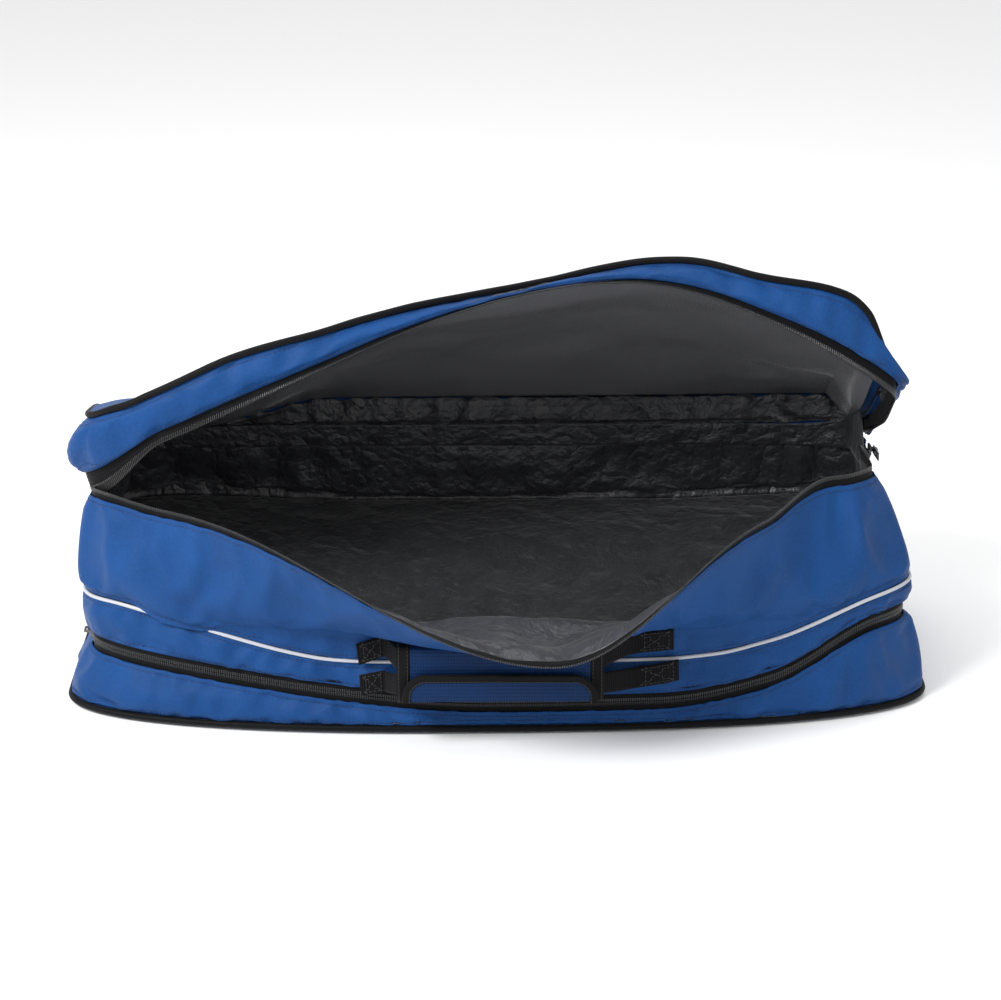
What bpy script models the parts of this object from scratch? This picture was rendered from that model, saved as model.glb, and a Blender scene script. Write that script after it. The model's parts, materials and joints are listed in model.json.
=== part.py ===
"""Racket tournament bag: a soft two-compartment kit bag on its back panel, with the lid of the
upper compartment open.  Metres, +Z up, X along the bag, the handle on the -Y side."""
import math
from collections import namedtuple

import bpy
import bmesh
from mathutils import Matrix, Vector

# ---- driving dimensions ------------------------------------------------------------------
COLUMNS = 60                # points around every seam
END_FRONT = -0.085          # the ends are straight from here ...
END_REAR = 0.090            # ... to here
FRONT_POWER = 2.4           # roundness of the front corners
REAR_POWER = 4.0            # roundness of the rear corners
CLOTH = 0.0045              # padded wall
LINING = 0.001
CORD_RADIUS = 0.003         # piping cord
SEAM_GAP = 0.0035           # a wall's edge keeps this far from a piping seam
ZIP_HALF = 0.008            # from the zip's line to the wall's edge
TAPE_REACH = 0.011          # from the zip's line to the tape's far edge
TAPE_DEPTH = (0.0056, 0.0064)
COIL_DEPTH = (0.0046, 0.0070)
LINING_DEPTH = 0.0072
COIL_NEAR = 0.0012
COIL_FAR = 0.0032
CUT = 0.0004                # half of a fold line's gap
LID_OPEN = math.radians(38.5)
FLAP_DROP = math.radians(86)
FOLD_HEIGHT = 0.098         # the front wall folds outward here
FLAP_HALF_ANGLE = 30        # the folding stretch of the front wall, in outline degrees
GRIP_HALF = 0.0785
GRIP_LOW = 0.0440
GRIP_HIGH = 0.0960
FLAP_HALF = 0.0795             # the grip's closing flap, lower half of the grip's front
FLAP_HIGH = 0.0690
STRIP_LOW, STRIP_HIGH = 0.0525, 0.0650   # hook and loop behind the flap
WEB_Y = -0.1925             # where the webbings run inside the grip
LOWER_SLIDER_Y = -0.078
UPPER_SLIDER_Y = 0.058
SLIDER_PLATES = ((0.0022, 0.0040), (0.0076, 0.0090))
PULL_OUT = 0.0006            # a pull's pivot stands this far outside the seam

# Seams from the floor up: half length, front depth, rear depth, the heights at the ends, at mid
# front and at the rear, how much the right end's front stands up, and where along X a seam starts
# to sag, is fully sunk (from, to), and is level again.
Seam = namedtuple("Seam", "half front rear end_z mid_z rear_z right_rise sag")
SAG = (-0.36, -0.12, 0.15, 0.40)
BASE = Seam(0.388, 0.172, 0.150, 0.008, 0.008, 0.008, 0, SAG)
LOWER_ZIP = Seam(0.370, 0.172, 0.150, 0.062, 0.028, 0.062, 0.020, (-0.40, 0, 0.14, 0.36))
PIPING = Seam(0.371, 0.166, 0.150, 0.110, 0.067, 0.104, 0, SAG)
FOLD = Seam(0.371, 0.166, 0.150, FOLD_HEIGHT, FOLD_HEIGHT, FOLD_HEIGHT, 0, SAG)
UPPER_ZIP = Seam(0.356, 0.160, 0.150, 0.204, 0.200, 0.170, 0, SAG)
LID = Seam(0.374, 0.164, 0.150, 0.240, 0.240, 0.206, 0, SAG)

TRAY_AXIS = Vector((0, 0.1506, LOWER_ZIP.rear_z))
LID_AXIS = Vector((0, 0.1506, UPPER_ZIP.rear_z))
FLAP_AXIS = Vector((0, -0.1668, FOLD_HEIGHT))
GRIP_FLAP_AXIS = Vector((0, WEB_Y - 0.0133, GRIP_LOW + 0.004))

BLUE = ((0.028, 0.105, 0.330, 1), 0.78, 0.0)
BLACK = ((0.012, 0.012, 0.013, 1), 0.70, 0.0)
WHITE = ((0.780, 0.785, 0.790, 1), 0.45, 0.0)
GREY = ((0.085, 0.088, 0.095, 1), 0.42, 0.0)
FOIL = ((0.030, 0.033, 0.042, 1), 0.22, 0.3)
METAL = ((0.210, 0.205, 0.200, 1), 0.34, 1.0)


# ---- scene helpers -----------------------------------------------------------------------
def clear_scene():
    for obj in list(bpy.data.objects):
        bpy.data.objects.remove(obj, do_unlink=True)


def material(name, spec):
    found = bpy.data.materials.get(name)
    if found:
        return found
    colour, roughness, metallic = spec
    made = bpy.data.materials.new(name)
    made.use_nodes = True
    shader = made.node_tree.nodes["Principled BSDF"]
    shader.inputs["Base Color"].default_value = colour
    shader.inputs["Roughness"].default_value = roughness
    shader.inputs["Metallic"].default_value = metallic
    return made


def pivot(name, place, tilt=0.0, parent=None):
    """An empty on a joint's axis; tilt turns it about X to the rest position."""
    empty = bpy.data.objects.new(name, None)
    bpy.context.scene.collection.objects.link(empty)
    empty["axis"] = tuple(place)
    if parent is None:
        empty.location = place
    else:
        empty.parent = parent
        empty.location = place - Vector(parent["axis"])
    empty.rotation_euler = (tilt, 0, 0)
    return empty


def add(name, bm, look, parent=None):
    """Make the named object; a parent pivot keeps the coordinates it was drawn in."""
    bmesh.ops.recalc_face_normals(bm, faces=bm.faces)
    mesh = bpy.data.meshes.new(name)
    if parent is not None:
        bmesh.ops.translate(bm, verts=bm.verts, vec=-Vector(parent["axis"]))
    bm.to_mesh(mesh)
    bm.free()
    obj = bpy.data.objects.new(name, mesh)
    obj.data.materials.append(material(*look))
    bpy.context.scene.collection.objects.link(obj)
    obj.parent = parent
    return obj


def box(low, high):
    """A bmesh box between two corners."""
    bm = bmesh.new()
    low, high = Vector(low), Vector(high)
    place = Matrix.Translation((low + high) / 2) @ Matrix.Diagonal((*(high - low), 1))
    bmesh.ops.create_cube(bm, size=1, matrix=place)
    return bm


def sweep(sections, closed):
    """Skin a list of equal closed sections; an open run gets end caps."""
    bm = bmesh.new()
    rows = [[bm.verts.new(point) for point in section] for section in sections]
    count = len(rows[0])
    pairs = list(zip(rows, rows[1:]))
    if closed:
        pairs.append((rows[-1], rows[0]))
    for first, second in pairs:
        for i in range(count):
            j = (i + 1) % count
            bm.faces.new((first[i], first[j], second[j], second[i]))
    if not closed:
        bm.faces.new(rows[0])
        bm.faces.new(rows[-1])
    return bm


# ---- the bag's outline -------------------------------------------------------------------
def rounded(degrees, power):
    """A point of the unit superellipse in the direction of an angle."""
    c, s = math.cos(math.radians(degrees)), math.sin(math.radians(degrees))
    reach = (abs(c) ** power + abs(s) ** power) ** (-1 / power)
    return reach * c, reach * s


def plan(seam, t):
    """Outline in plan; t runs 0-30 right end, 30-150 rear, 150-180 left end, 180-360 front."""
    t %= 360
    if t < 30:
        return seam.half, END_FRONT + (END_REAR - END_FRONT) * t / 30
    if t < 150:
        x, y = rounded((t - 30) * 1.5, REAR_POWER)
        return seam.half * x, END_REAR + (seam.rear - END_REAR) * y
    if t < 180:
        return -seam.half, END_REAR + (END_FRONT - END_REAR) * (t - 150) / 30
    x, y = rounded(t, FRONT_POWER)
    return seam.half * x, END_FRONT + (seam.front + END_FRONT) * y


def smooth(value):
    value = max(0.0, min(1.0, value))
    return value * value * (3 - 2 * value)


def droop(seam, x, y):
    """How far a seam has sunk towards its mid-front height, 0 at the ends to 1 in the middle."""
    start, sunk, rising, level = seam.sag
    along = min(smooth((x - start) / (sunk - start)), smooth((level - x) / (level - rising)))
    return along * (0.25 + 0.75 * smooth((0.10 - y) / 0.20))


def seam_height(seam, x, y):
    """A seam slopes evenly to its rear height, sags at mid front and may stand up at the right."""
    back = (y + seam.front) / (seam.front + seam.rear)
    height = seam.end_z + (seam.rear_z - seam.end_z) * back
    height += seam.right_rise * smooth((x - 0.24) / 0.10) * smooth((0.06 - y) / 0.16)
    return height + (seam.mid_z - seam.end_z) * droop(seam, x, y)


def outward(seam, t):
    ahead, behind = Vector(plan(seam, t + 0.5)), Vector(plan(seam, t - 0.5))
    along = (ahead - behind).normalized()
    return Vector((along.y, -along.x, 0))


def at(seam, t, inset=0.0, lift=0.0):
    """A point on a seam, moved inward by inset and up by lift."""
    x, y = plan(seam, t)
    return Vector((x, y, seam_height(seam, x, y) + lift)) - outward(seam, t) * inset


def angles(start=0, stop=360):
    """Outline angles from start to stop at the shared spacing; a full turn leaves out the last."""
    count = round(COLUMNS * (stop - start) / 360)
    last = count if stop - start < 360 else count - 1
    return [start + (stop - start) * i / count for i in range(last + 1)]


def zip_gap(t, turn=57):
    """Half gap between two walls: the zip's at the front and ends, a mere cut at the rear."""
    from_rear = abs((t % 360) - 90)
    return CUT + (ZIP_HALF - CUT) * smooth((from_rear - turn) / 6)


def lining_gap(t):
    """The same for a lining, which stops short of the zip tape."""
    return zip_gap(t, 51) + 0.0035


# ---- sections that the sweeps use --------------------------------------------------------
def wall_section(low, high, bulge=0.0, depth=CLOTH, inset=0.0):
    """Wall between two (seam, angle, lift) edges, with one row halfway that may bulge out."""
    outer, inner = [], []
    for share in (0.0, 0.5, 1.0):
        swell = bulge * math.sin(math.pi * share)
        for line, deep in ((outer, inset), (inner, inset + depth)):
            a = at(low[0], low[1], deep - swell, low[2])
            b = at(high[0], high[1], deep - swell, high[2])
            line.append(a.lerp(b, share))
    return outer + inner[::-1]


def strip_section(seam, t, insets, lifts):
    near, far = insets
    low, high = lifts
    return [at(seam, t, near, low), at(seam, t, near, high),
            at(seam, t, far, high), at(seam, t, far, low)]


def cord_section(seam, t, inset, lift, radius=CORD_RADIUS, sides=8):
    centre = at(seam, t, inset, lift)
    out = outward(seam, t)
    ring = []
    for i in range(sides):
        turn = 2 * math.pi * i / sides
        ring.append(centre + out * radius * math.cos(turn) + Vector((0, 0, radius * math.sin(turn))))
    return ring


def panel(seam, inset, lifts, rings=(1.0,)):
    """A filled sheet inside a seam; more rings let it follow the seam's droop."""
    bm = bmesh.new()
    layers = []
    for lift in lifts:
        rows = []
        for scale in rings:
            row = []
            for t in angles():
                edge = at(seam, t, inset)
                x, y = edge.x * scale, edge.y * scale
                row.append(bm.verts.new((x, y, seam_height(seam, x, y) + lift)))
            rows.append(row)
        for first, second in zip(rows, rows[1:]):
            for i in range(len(first)):
                j = (i + 1) % len(first)
                bm.faces.new((first[i], first[j], second[j], second[i]))
        bm.faces.new(rows[-1])
        layers.append(rows[0])
    for i in range(len(layers[0])):
        j = (i + 1) % len(layers[0])
        bm.faces.new((layers[0][i], layers[0][j], layers[1][j], layers[1][i]))
    return bm


# ---- lower compartment -------------------------------------------------------------------
def zip_strips(names, seam, side, span, parent, looks=(("tape", BLACK), ("coil", BLACK))):
    """One half of a zip: its tape and the coil on the tape's edge; side is +1 above the line."""
    tape = [strip_section(seam, t, TAPE_DEPTH, (side * COIL_FAR, side * TAPE_REACH)) for t in span]
    coil = [strip_section(seam, t, COIL_DEPTH, (side * COIL_NEAR, side * (COIL_FAR - 0.0003)))
            for t in span]
    add(names[0], sweep(tape, False), looks[0], parent)
    add(names[1], sweep(coil, False), looks[1], parent)


ZIP_SPAN = angles(-210, 30)


def lower_compartment():
    add("base_panel", panel(BASE, 0.0035, (-0.008, 0.0)), ("cloth_blue", BLUE))
    cord = [cord_section(BASE, t, 0.0, -0.0031) for t in angles()]
    add("base_piping", sweep(cord, True), ("piping_black", BLACK))
    wall = [wall_section((BASE, t, 0.0005), (LOWER_ZIP, t, -zip_gap(t))) for t in angles()]
    add("lower_wall", sweep(wall, True), ("cloth_blue", BLUE))
    lining = [wall_section((BASE, t, 0.0015), (LOWER_ZIP, t, -lining_gap(t)), 0, LINING, LINING_DEPTH)
              for t in angles()]
    add("lower_lining", sweep(lining, True), ("lining_grey", GREY))
    zip_strips(("lower_zip_tape_bottom", "lower_zip_coil_bottom"), LOWER_ZIP, -1, ZIP_SPAN, None)


def upper_tray(tray):
    wall = [wall_section((LOWER_ZIP, t, zip_gap(t)), (PIPING, t, -SEAM_GAP)) for t in angles()]
    add("middle_wall", sweep(wall, True), ("cloth_blue", BLUE), tray)
    lining = [wall_section((LOWER_ZIP, t, lining_gap(t)), (PIPING, t, -0.006), 0, LINING, LINING_DEPTH)
              for t in angles()]
    add("middle_lining", sweep(lining, True), ("lining_grey", GREY), tray)
    zip_strips(("lower_zip_tape_top", "lower_zip_coil_top"), LOWER_ZIP, 1, ZIP_SPAN, tray)
    cord = [cord_section(PIPING, t, 0.001, 0.0) for t in angles()]
    add("white_piping", sweep(cord, True), ("piping_white", WHITE), tray)
    add("divider_panel", panel(PIPING, 0.0085, (-0.0015, 0.0015), (1.0, 0.75, 0.5, 0.25)),
        ("lining_grey", GREY), tray)


# ---- upper compartment -------------------------------------------------------------------
FLAP_START = 270 - FLAP_HALF_ANGLE
FLAP_STOP = 270 + FLAP_HALF_ANGLE
BAND = angles(FLAP_START, FLAP_STOP)
SLIT = 0.3


def upper_wall_columns():
    """Angles with a mark: tall wall round the ends and rear, low band under the folding flap."""
    tall = [t for t in angles(FLAP_STOP - 360, FLAP_START)]
    tall[0] += SLIT
    tall[-1] -= SLIT
    low = list(BAND)
    low[0] += SLIT
    low[-1] -= SLIT
    return [(t, True) for t in tall] + [(t, False) for t in low]


def upper_wall_sections(inset, depth, foot, gap, head, bulge):
    """Sections of the upper wall or its lining; gap gives the distance below the zip's line."""
    sections = []
    for t, tall in upper_wall_columns():
        if tall:
            top = (UPPER_ZIP, t, -gap(t))
        else:
            top = (FOLD, t, -CUT - head)
        sections.append(wall_section((PIPING, t, foot), top, bulge if tall else 0, depth, inset))
    return sections


def upper_compartment(tray):
    wall = upper_wall_sections(0.0, CLOTH, SEAM_GAP, zip_gap, 0.0, 0.006)
    add("upper_wall", sweep(wall, True), ("cloth_blue", BLUE), tray)
    lining = upper_wall_sections(LINING_DEPTH, LINING, 0.0055, lining_gap, 0.0035, 0.006)
    add("upper_lining", sweep(lining, True), ("lining_grey", GREY), tray)
    for side, span in (("left", angles(150, FLAP_START)), ("right", angles(FLAP_STOP - 360, 30))):
        span[0] += SLIT * (side == "right")
        span[-1] -= SLIT * (side == "left")
        names = (f"upper_zip_tape_{side}", f"upper_zip_coil_{side}")
        zip_strips(names, UPPER_ZIP, -1, span, tray)


def front_flap(flap):
    """The free stretch of the front wall, drawn upright; its pivot lays it over."""
    span = list(BAND)
    span[0] += 2 * SLIT
    span[-1] -= 2 * SLIT
    wall = [wall_section((FOLD, t, CUT), (UPPER_ZIP, t, -ZIP_HALF)) for t in span]
    add("front_wall", sweep(wall, False), ("cloth_blue", BLUE), flap)
    lining = [wall_section((FOLD, t, 0.004), (UPPER_ZIP, t, -ZIP_HALF - 0.0035), 0, LINING, LINING_DEPTH)
              for t in span]
    add("front_wall_lining", sweep(lining, False), ("lining_grey", GREY), flap)
    zip_strips(("front_zip_tape", "front_zip_coil"), UPPER_ZIP, -1, span, flap)


def lid_parts(lid):
    add("lid_panel", panel(LID, 0.0035, (-0.005, 0.0)), ("cloth_blue", BLUE), lid)
    cord = [cord_section(LID, t, 0.0, -0.0028) for t in angles()]
    add("lid_piping", sweep(cord, True), ("piping_black", BLACK), lid)
    wall = [wall_section((UPPER_ZIP, t, zip_gap(t)), (LID, t, -0.0063)) for t in angles()]
    add("lid_wall", sweep(wall, True), ("cloth_blue", BLUE), lid)
    zip_strips(("lid_zip_tape", "lid_zip_coil"), UPPER_ZIP, 1, ZIP_SPAN, lid)
    lining = [wall_section((UPPER_ZIP, t, lining_gap(t)), (LID, t, -0.009), 0, LINING, LINING_DEPTH)
              for t in angles()]
    add("lid_wall_lining", sweep(lining, True), ("lining_grey", GREY), lid)
    add("lid_foil_lining", panel(LID, 0.010, (-0.0075, -0.0060)), ("lining_foil", FOIL), lid)


# ---- handle ------------------------------------------------------------------------------
def sewn_ends(tray):
    """The ends of both webbings, sewn flat on the wall above and below the white piping."""
    rows = (("upper", FOLD, (-0.0225, -0.0015)), ("lower", PIPING, (-0.0260, -0.0050)))
    for row, seam, lifts in rows:
        for side, middle, reach in (("left", 252.8, 1.9), ("right", 291.2, 3.0)):
            span = [middle - reach, middle, middle + reach]
            inset = (-0.0052, -0.0036) if row == "upper" else (-0.0125, -0.0109)
            patch = [strip_section(seam, t, inset, lifts) for t in span]
            add(f"handle_end_{row}_{side}", sweep(patch, False), ("webbing_black", BLACK), tray)


def ribbon(route, low, high, thickness):
    """A webbing on edge: a plan route of (x, y) points given a thickness in y."""
    sections = []
    for x, y in route:
        near, far = y - thickness / 2, y + thickness / 2
        sections.append([Vector((x, near, low)), Vector((x, near, high)),
                         Vector((x, far, high)), Vector((x, far, low))])
    return sweep(sections, False)


def tube_section(x, outer, hole):
    """Outer and inner rectangles (y0, y1, z0, z1) of a sleeve at one x."""
    rings = []
    for y0, y1, z0, z1 in (outer, hole):
        rings.append([Vector((x, y0, z0)), Vector((x, y0, z1)), Vector((x, y1, z1)), Vector((x, y1, z0))])
    return rings


def sleeve(x0, x1, outer, hole):
    """A rectangular sleeve that the webbings pass through."""
    bm = bmesh.new()
    rings = [[bm.verts.new(p) for p in ring] for x in (x0, x1) for ring in tube_section(x, outer, hole)]
    near_out, near_in, far_out, far_in = rings
    for first, second in ((near_out, far_out), (far_in, near_in), (near_in, near_out), (far_out, far_in)):
        for i in range(4):
            j = (i + 1) % 4
            bm.faces.new((first[i], first[j], second[j], second[i]))
    return bm


def handle_parts(grip):
    middle = (GRIP_LOW + GRIP_HIGH) / 2
    route = ((-0.1035, WEB_Y + 0.014), (-0.092, WEB_Y), (0.092, WEB_Y), (0.1165, WEB_Y + 0.014))
    spans = (("upper", middle + 0.0015, GRIP_HIGH - 0.0033), ("lower", GRIP_LOW + 0.0033, middle - 0.0015))
    for row, low, high in spans:
        add(f"handle_webbing_{row}", ribbon(route, low, high, 0.0024), ("webbing_black", BLACK), grip)
    hole = (WEB_Y - 0.003, WEB_Y + 0.003, GRIP_LOW + 0.003, GRIP_HIGH - 0.003)
    outer = (WEB_Y - 0.008, WEB_Y + 0.008, GRIP_LOW, GRIP_HIGH)
    add("grip_pad", sleeve(-GRIP_HALF, GRIP_HALF, outer, hole), ("grip_mesh", BLUE), grip)
    wider = (outer[0] - 0.001, outer[1] + 0.001, outer[2] - 0.001, outer[3] + 0.001)
    for side, x0, x1 in (("left", -0.0895, -GRIP_HALF - CUT), ("right", GRIP_HALF + CUT, 0.0895)):
        add(f"grip_binding_{side}", sleeve(x0, x1, wider, hole), ("binding_black", BLACK), grip)
    front = outer[0]
    add("hook_strip", box((-0.066, front - 0.0015, STRIP_LOW), (0.066, front - 0.0003, STRIP_HIGH)),
        ("hook_black", BLACK), grip)


def grip_flap_parts(flap):
    front = WEB_Y - 0.008 - 0.0018
    low, high = GRIP_LOW + 0.0045, FLAP_HIGH
    add("loop_strip", box((-0.066, front - 0.0012, STRIP_LOW), (0.066, front, STRIP_HIGH)),
        ("loop_black", BLACK), flap)
    near, far = front - 0.0040, front - 0.0015
    add("grip_flap", box((-FLAP_HALF, near, low), (FLAP_HALF, far, high)), ("grip_mesh", BLUE), flap)
    width = 0.005
    x, z = FLAP_HALF + CUT, high + CUT
    corners = ((-x, low), (-x, z), (x, z), (x, low))
    wide = ((-x - width, low), (-x - width, z + width), (x + width, z + width), (x + width, low))
    sections = []
    for (xi, zi), (xo, zo) in zip(corners, wide):
        sections.append([Vector((xi, near, zi)), Vector((xi, far, zi)),
                         Vector((xo, far, zo)), Vector((xo, near, zo))])
    add("grip_flap_binding", sweep(sections, False), ("binding_black", BLACK), flap)


# ---- zip sliders -------------------------------------------------------------------------
def combine(operation, *parts):
    """One bmesh out of several, by exact booleans on the first."""
    objects = []
    for bm in parts:
        mesh = bpy.data.meshes.new("piece")
        bmesh.ops.recalc_face_normals(bm, faces=bm.faces)
        bm.to_mesh(mesh)
        bm.free()
        obj = bpy.data.objects.new("piece", mesh)
        bpy.context.scene.collection.objects.link(obj)
        objects.append(obj)
    for other in objects[1:]:
        step = objects[0].modifiers.new("step", "BOOLEAN")
        step.operation = operation
        step.solver = "EXACT"
        step.object = other
    bpy.context.view_layer.update()
    result = bmesh.new()
    result.from_object(objects[0], bpy.context.evaluated_depsgraph_get())
    for obj in objects:
        bpy.data.objects.remove(obj, do_unlink=True)
    return result


def slider(name, seam, side, y, mouth, slide, swing):
    """A slider round the coils at an end of the bag and its pull; mouth is the open side in Y."""
    x = side * seam.half
    z = seam_height(seam, x, y)

    def block(near, far, y0, y1, z0, z1):
        xs = sorted((x - side * near, x - side * far))
        ys = sorted((y + mouth * y0, y + mouth * y1))
        return box((xs[0], ys[0], z + z0), (xs[1], ys[1], z + z1))

    plates = [block(near, far, -0.007, 0.007, -0.0045, 0.0045) for near, far in SLIDER_PLATES]
    post = block(0.0036, 0.0080, 0.003, 0.007, -0.0008, 0.0008)
    bridge = block(-0.0042, -0.0032, -0.0045, 0.0045, -0.0012, 0.0012)
    feet = [block(-0.0034, 0.0024, y0, y0 + 0.0012, -0.0012, 0.0012) for y0 in (-0.0045, 0.0033)]
    add(name, combine("UNION", *plates, post, bridge, *feet), ("slider_metal", METAL), slide)
    tab = block(-0.0012, 0.0, -0.0006, 0.030, -0.0038, 0.0038)
    window = block(-0.0030, 0.0020, 0.0006, 0.0064, -0.0018, 0.0018)
    tie_hole = block(-0.0030, 0.0020, 0.0230, 0.0275, -0.0022, 0.0022)
    pull = combine("DIFFERENCE", tab, window, tie_hole)
    add(name.replace("slider", "pull"), pull, ("slider_metal", METAL), swing)


def slider_pivots(name, seam, side, y, parent):
    """Empties for a slider and its pull; the slider runs along the slope of its seam."""
    x = side * (seam.half + PULL_OUT)
    place = Vector((x, y, seam_height(seam, side * seam.half, y)))
    slope = math.atan2(seam.rear_z - seam.end_z, seam.front + seam.rear)
    run = pivot(f"{name}_slider_run", place, slope, parent)
    return run, pivot(f"{name}_pull_pivot", place, 0, run)


def sliders(tray):
    run, swing = slider_pivots("lower", LOWER_ZIP, -1, LOWER_SLIDER_Y, None)
    slider("lower_slider", LOWER_ZIP, -1, LOWER_SLIDER_Y, 1, run, swing)
    run, swing = slider_pivots("upper", UPPER_ZIP, 1, UPPER_SLIDER_Y, tray)
    slider("upper_slider", UPPER_ZIP, 1, UPPER_SLIDER_Y, -1, run, swing)


def main():
    clear_scene()
    tray = pivot("upper_tray_hinge", TRAY_AXIS)
    lid = pivot("lid_hinge", LID_AXIS, -LID_OPEN, tray)
    flap = pivot("front_wall_fold", FLAP_AXIS, FLAP_DROP, tray)
    grip = pivot("handle_pull", Vector((0, WEB_Y, (GRIP_LOW + GRIP_HIGH) / 2)), 0, tray)
    grip_flap = pivot("grip_flap_hinge", GRIP_FLAP_AXIS, 0, grip)
    lower_compartment()
    upper_tray(tray)
    upper_compartment(tray)
    front_flap(flap)
    lid_parts(lid)
    sewn_ends(tray)
    handle_parts(grip)
    grip_flap_parts(grip_flap)
    sliders(tray)


main()
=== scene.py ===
"""Looks of the racket tournament bag: woven cloth shells, zips, piping, linings and a handle built
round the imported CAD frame.  Metres, +Z up, X along the bag, the handle on the -Y side."""
import json
import math
from collections import namedtuple

import bpy
import numpy as np
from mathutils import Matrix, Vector

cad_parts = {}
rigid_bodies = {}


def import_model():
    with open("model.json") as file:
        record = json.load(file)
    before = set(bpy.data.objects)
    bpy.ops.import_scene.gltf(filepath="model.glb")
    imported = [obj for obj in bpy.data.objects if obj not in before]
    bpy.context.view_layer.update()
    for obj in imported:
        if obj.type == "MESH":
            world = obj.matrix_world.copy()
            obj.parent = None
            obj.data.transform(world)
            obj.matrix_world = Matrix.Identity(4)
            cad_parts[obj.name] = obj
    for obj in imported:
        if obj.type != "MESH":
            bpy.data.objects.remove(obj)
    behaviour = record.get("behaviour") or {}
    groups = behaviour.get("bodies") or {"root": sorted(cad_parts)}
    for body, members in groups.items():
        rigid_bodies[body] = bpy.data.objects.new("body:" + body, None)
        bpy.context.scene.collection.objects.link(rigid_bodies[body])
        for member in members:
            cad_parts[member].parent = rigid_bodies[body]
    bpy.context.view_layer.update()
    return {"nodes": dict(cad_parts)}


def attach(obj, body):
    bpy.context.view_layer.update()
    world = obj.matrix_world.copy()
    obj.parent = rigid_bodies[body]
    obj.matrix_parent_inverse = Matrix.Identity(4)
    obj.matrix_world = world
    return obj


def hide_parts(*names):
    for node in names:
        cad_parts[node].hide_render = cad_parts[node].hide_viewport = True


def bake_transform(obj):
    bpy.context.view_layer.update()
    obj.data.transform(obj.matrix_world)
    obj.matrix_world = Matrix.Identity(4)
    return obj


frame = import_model()

# ---- driving dimensions, the same seams as the CAD ---------------------------------------
END_FRONT, END_REAR = -0.085, 0.090
FRONT_POWER, REAR_POWER = 2.4, 4.0
Seam = namedtuple("Seam", "half front rear end_z mid_z rear_z right_rise sag")
SAG = (-0.36, -0.12, 0.15, 0.40)       # along X: starts to sag, fully sunk from, to, level again
BASE = Seam(0.388, 0.172, 0.150, 0.008, 0.008, 0.008, 0, SAG)
LOWER_ZIP = Seam(0.370, 0.172, 0.150, 0.063, 0.027, 0.062, 0.024, (-0.40, 0, 0.14, 0.36))
PIPING = Seam(0.371, 0.166, 0.150, 0.110, 0.067, 0.104, 0.008, SAG)
UPPER_ZIP = Seam(0.356, 0.160, 0.150, 0.204, 0.200, 0.170, 0, SAG)
LID = Seam(0.374, 0.164, 0.150, 0.240, 0.240, 0.206, 0, SAG)
FOLD_HEIGHT = 0.098
LID_AXIS = (0.1506, UPPER_ZIP.rear_z)
FLAP_AXIS = (-0.1668, FOLD_HEIGHT)
LID_OPEN = math.radians(38.5)
FLAP_DROP = math.radians(86)
LID_LEFT, LID_PEAK, LID_RIGHT = -0.515, 0.112, 0.590      # where the lid's opening fades out
FLAP_LEFT, FLAP_PEAK, FLAP_RIGHT = -0.370, 0.045, 0.300   # the same for the dropped front wall
ZIP_HALF = 0.008
FRONT_COLUMNS, REST_COLUMNS = 210, 290
COLUMNS = FRONT_COLUMNS + REST_COLUMNS


# ---- outline -----------------------------------------------------------------------------
def smooth(value):
    value = np.clip(value, 0.0, 1.0)
    return value * value * (3 - 2 * value)


def run_along(line):
    """Distance of every point of a line from its start."""
    return np.concatenate([[0], np.cumsum(np.linalg.norm(np.diff(line, axis=0), axis=1))])


def boxy(wave, power):
    """Flattens a sine or cosine, so that a circle turns into a rounded box."""
    return np.sign(wave) * np.abs(wave) ** power


def rounded(degrees, power):
    c, s = np.cos(np.radians(degrees)), np.sin(np.radians(degrees))
    reach = (np.abs(c) ** power + np.abs(s) ** power) ** (-1 / power)
    return reach * c, reach * s


def plan(seam, t):
    """Outline in plan; t runs 0-30 right end, 30-150 rear, 150-180 left end, 180-360 front."""
    t = np.asarray(t, float) % 360
    rear_x, rear_y = rounded((t - 30) * 1.5, REAR_POWER)
    front_x, front_y = rounded(t, FRONT_POWER)
    x = np.select([t < 30, t < 150, t < 180], [1.0, rear_x, -1.0], front_x) * seam.half
    right = END_FRONT + (END_REAR - END_FRONT) * t / 30
    left = END_REAR + (END_FRONT - END_REAR) * (t - 150) / 30
    rear = END_REAR + (seam.rear - END_REAR) * rear_y
    front = END_FRONT + (seam.front + END_FRONT) * front_y
    return x, np.select([t < 30, t < 150, t < 180], [right, rear, left], front)


def even_angles(seam, start, stop, count):
    """Angles that cut a stretch of the outline into count equal lengths."""
    dense = np.linspace(start, stop, 3601)
    x, y = plan(seam, dense)
    run = np.concatenate([[0], np.cumsum(np.hypot(np.diff(x), np.diff(y)))])
    return np.interp(np.linspace(0, run[-1], count + 1), run, dense), run[-1]


front_t, FRONT_LENGTH = even_angles(PIPING, 180, 360, FRONT_COLUMNS)
rest_t, REST_LENGTH = even_angles(PIPING, 360, 540, REST_COLUMNS)
T = np.concatenate([front_t[:-1], rest_t[:-1]])
ROUND = FRONT_LENGTH + REST_LENGTH
ARC = np.concatenate([np.linspace(0, FRONT_LENGTH, FRONT_COLUMNS + 1)[:-1],
                      FRONT_LENGTH + np.linspace(0, REST_LENGTH, REST_COLUMNS + 1)[:-1]])
FROM_REAR = np.abs((T % 360) - 90)
ZIP_FIRST = int(np.argmax(T >= 510))                      # the zips run from here ...
ZIP_LAST = int(np.argmax(T > 390)) - 1                    # ... round the front to here
ZIP_COLUMNS = np.arange(ZIP_FIRST - COLUMNS, ZIP_LAST + 1) % COLUMNS


def outward(seam):
    ahead, behind = np.stack(plan(seam, T + 0.5)), np.stack(plan(seam, T - 0.5))
    along = (ahead - behind) / np.linalg.norm(ahead - behind, axis=0)
    return np.column_stack([along[1], -along[0], np.zeros(COLUMNS)])


OUT = outward(PIPING)


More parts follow.
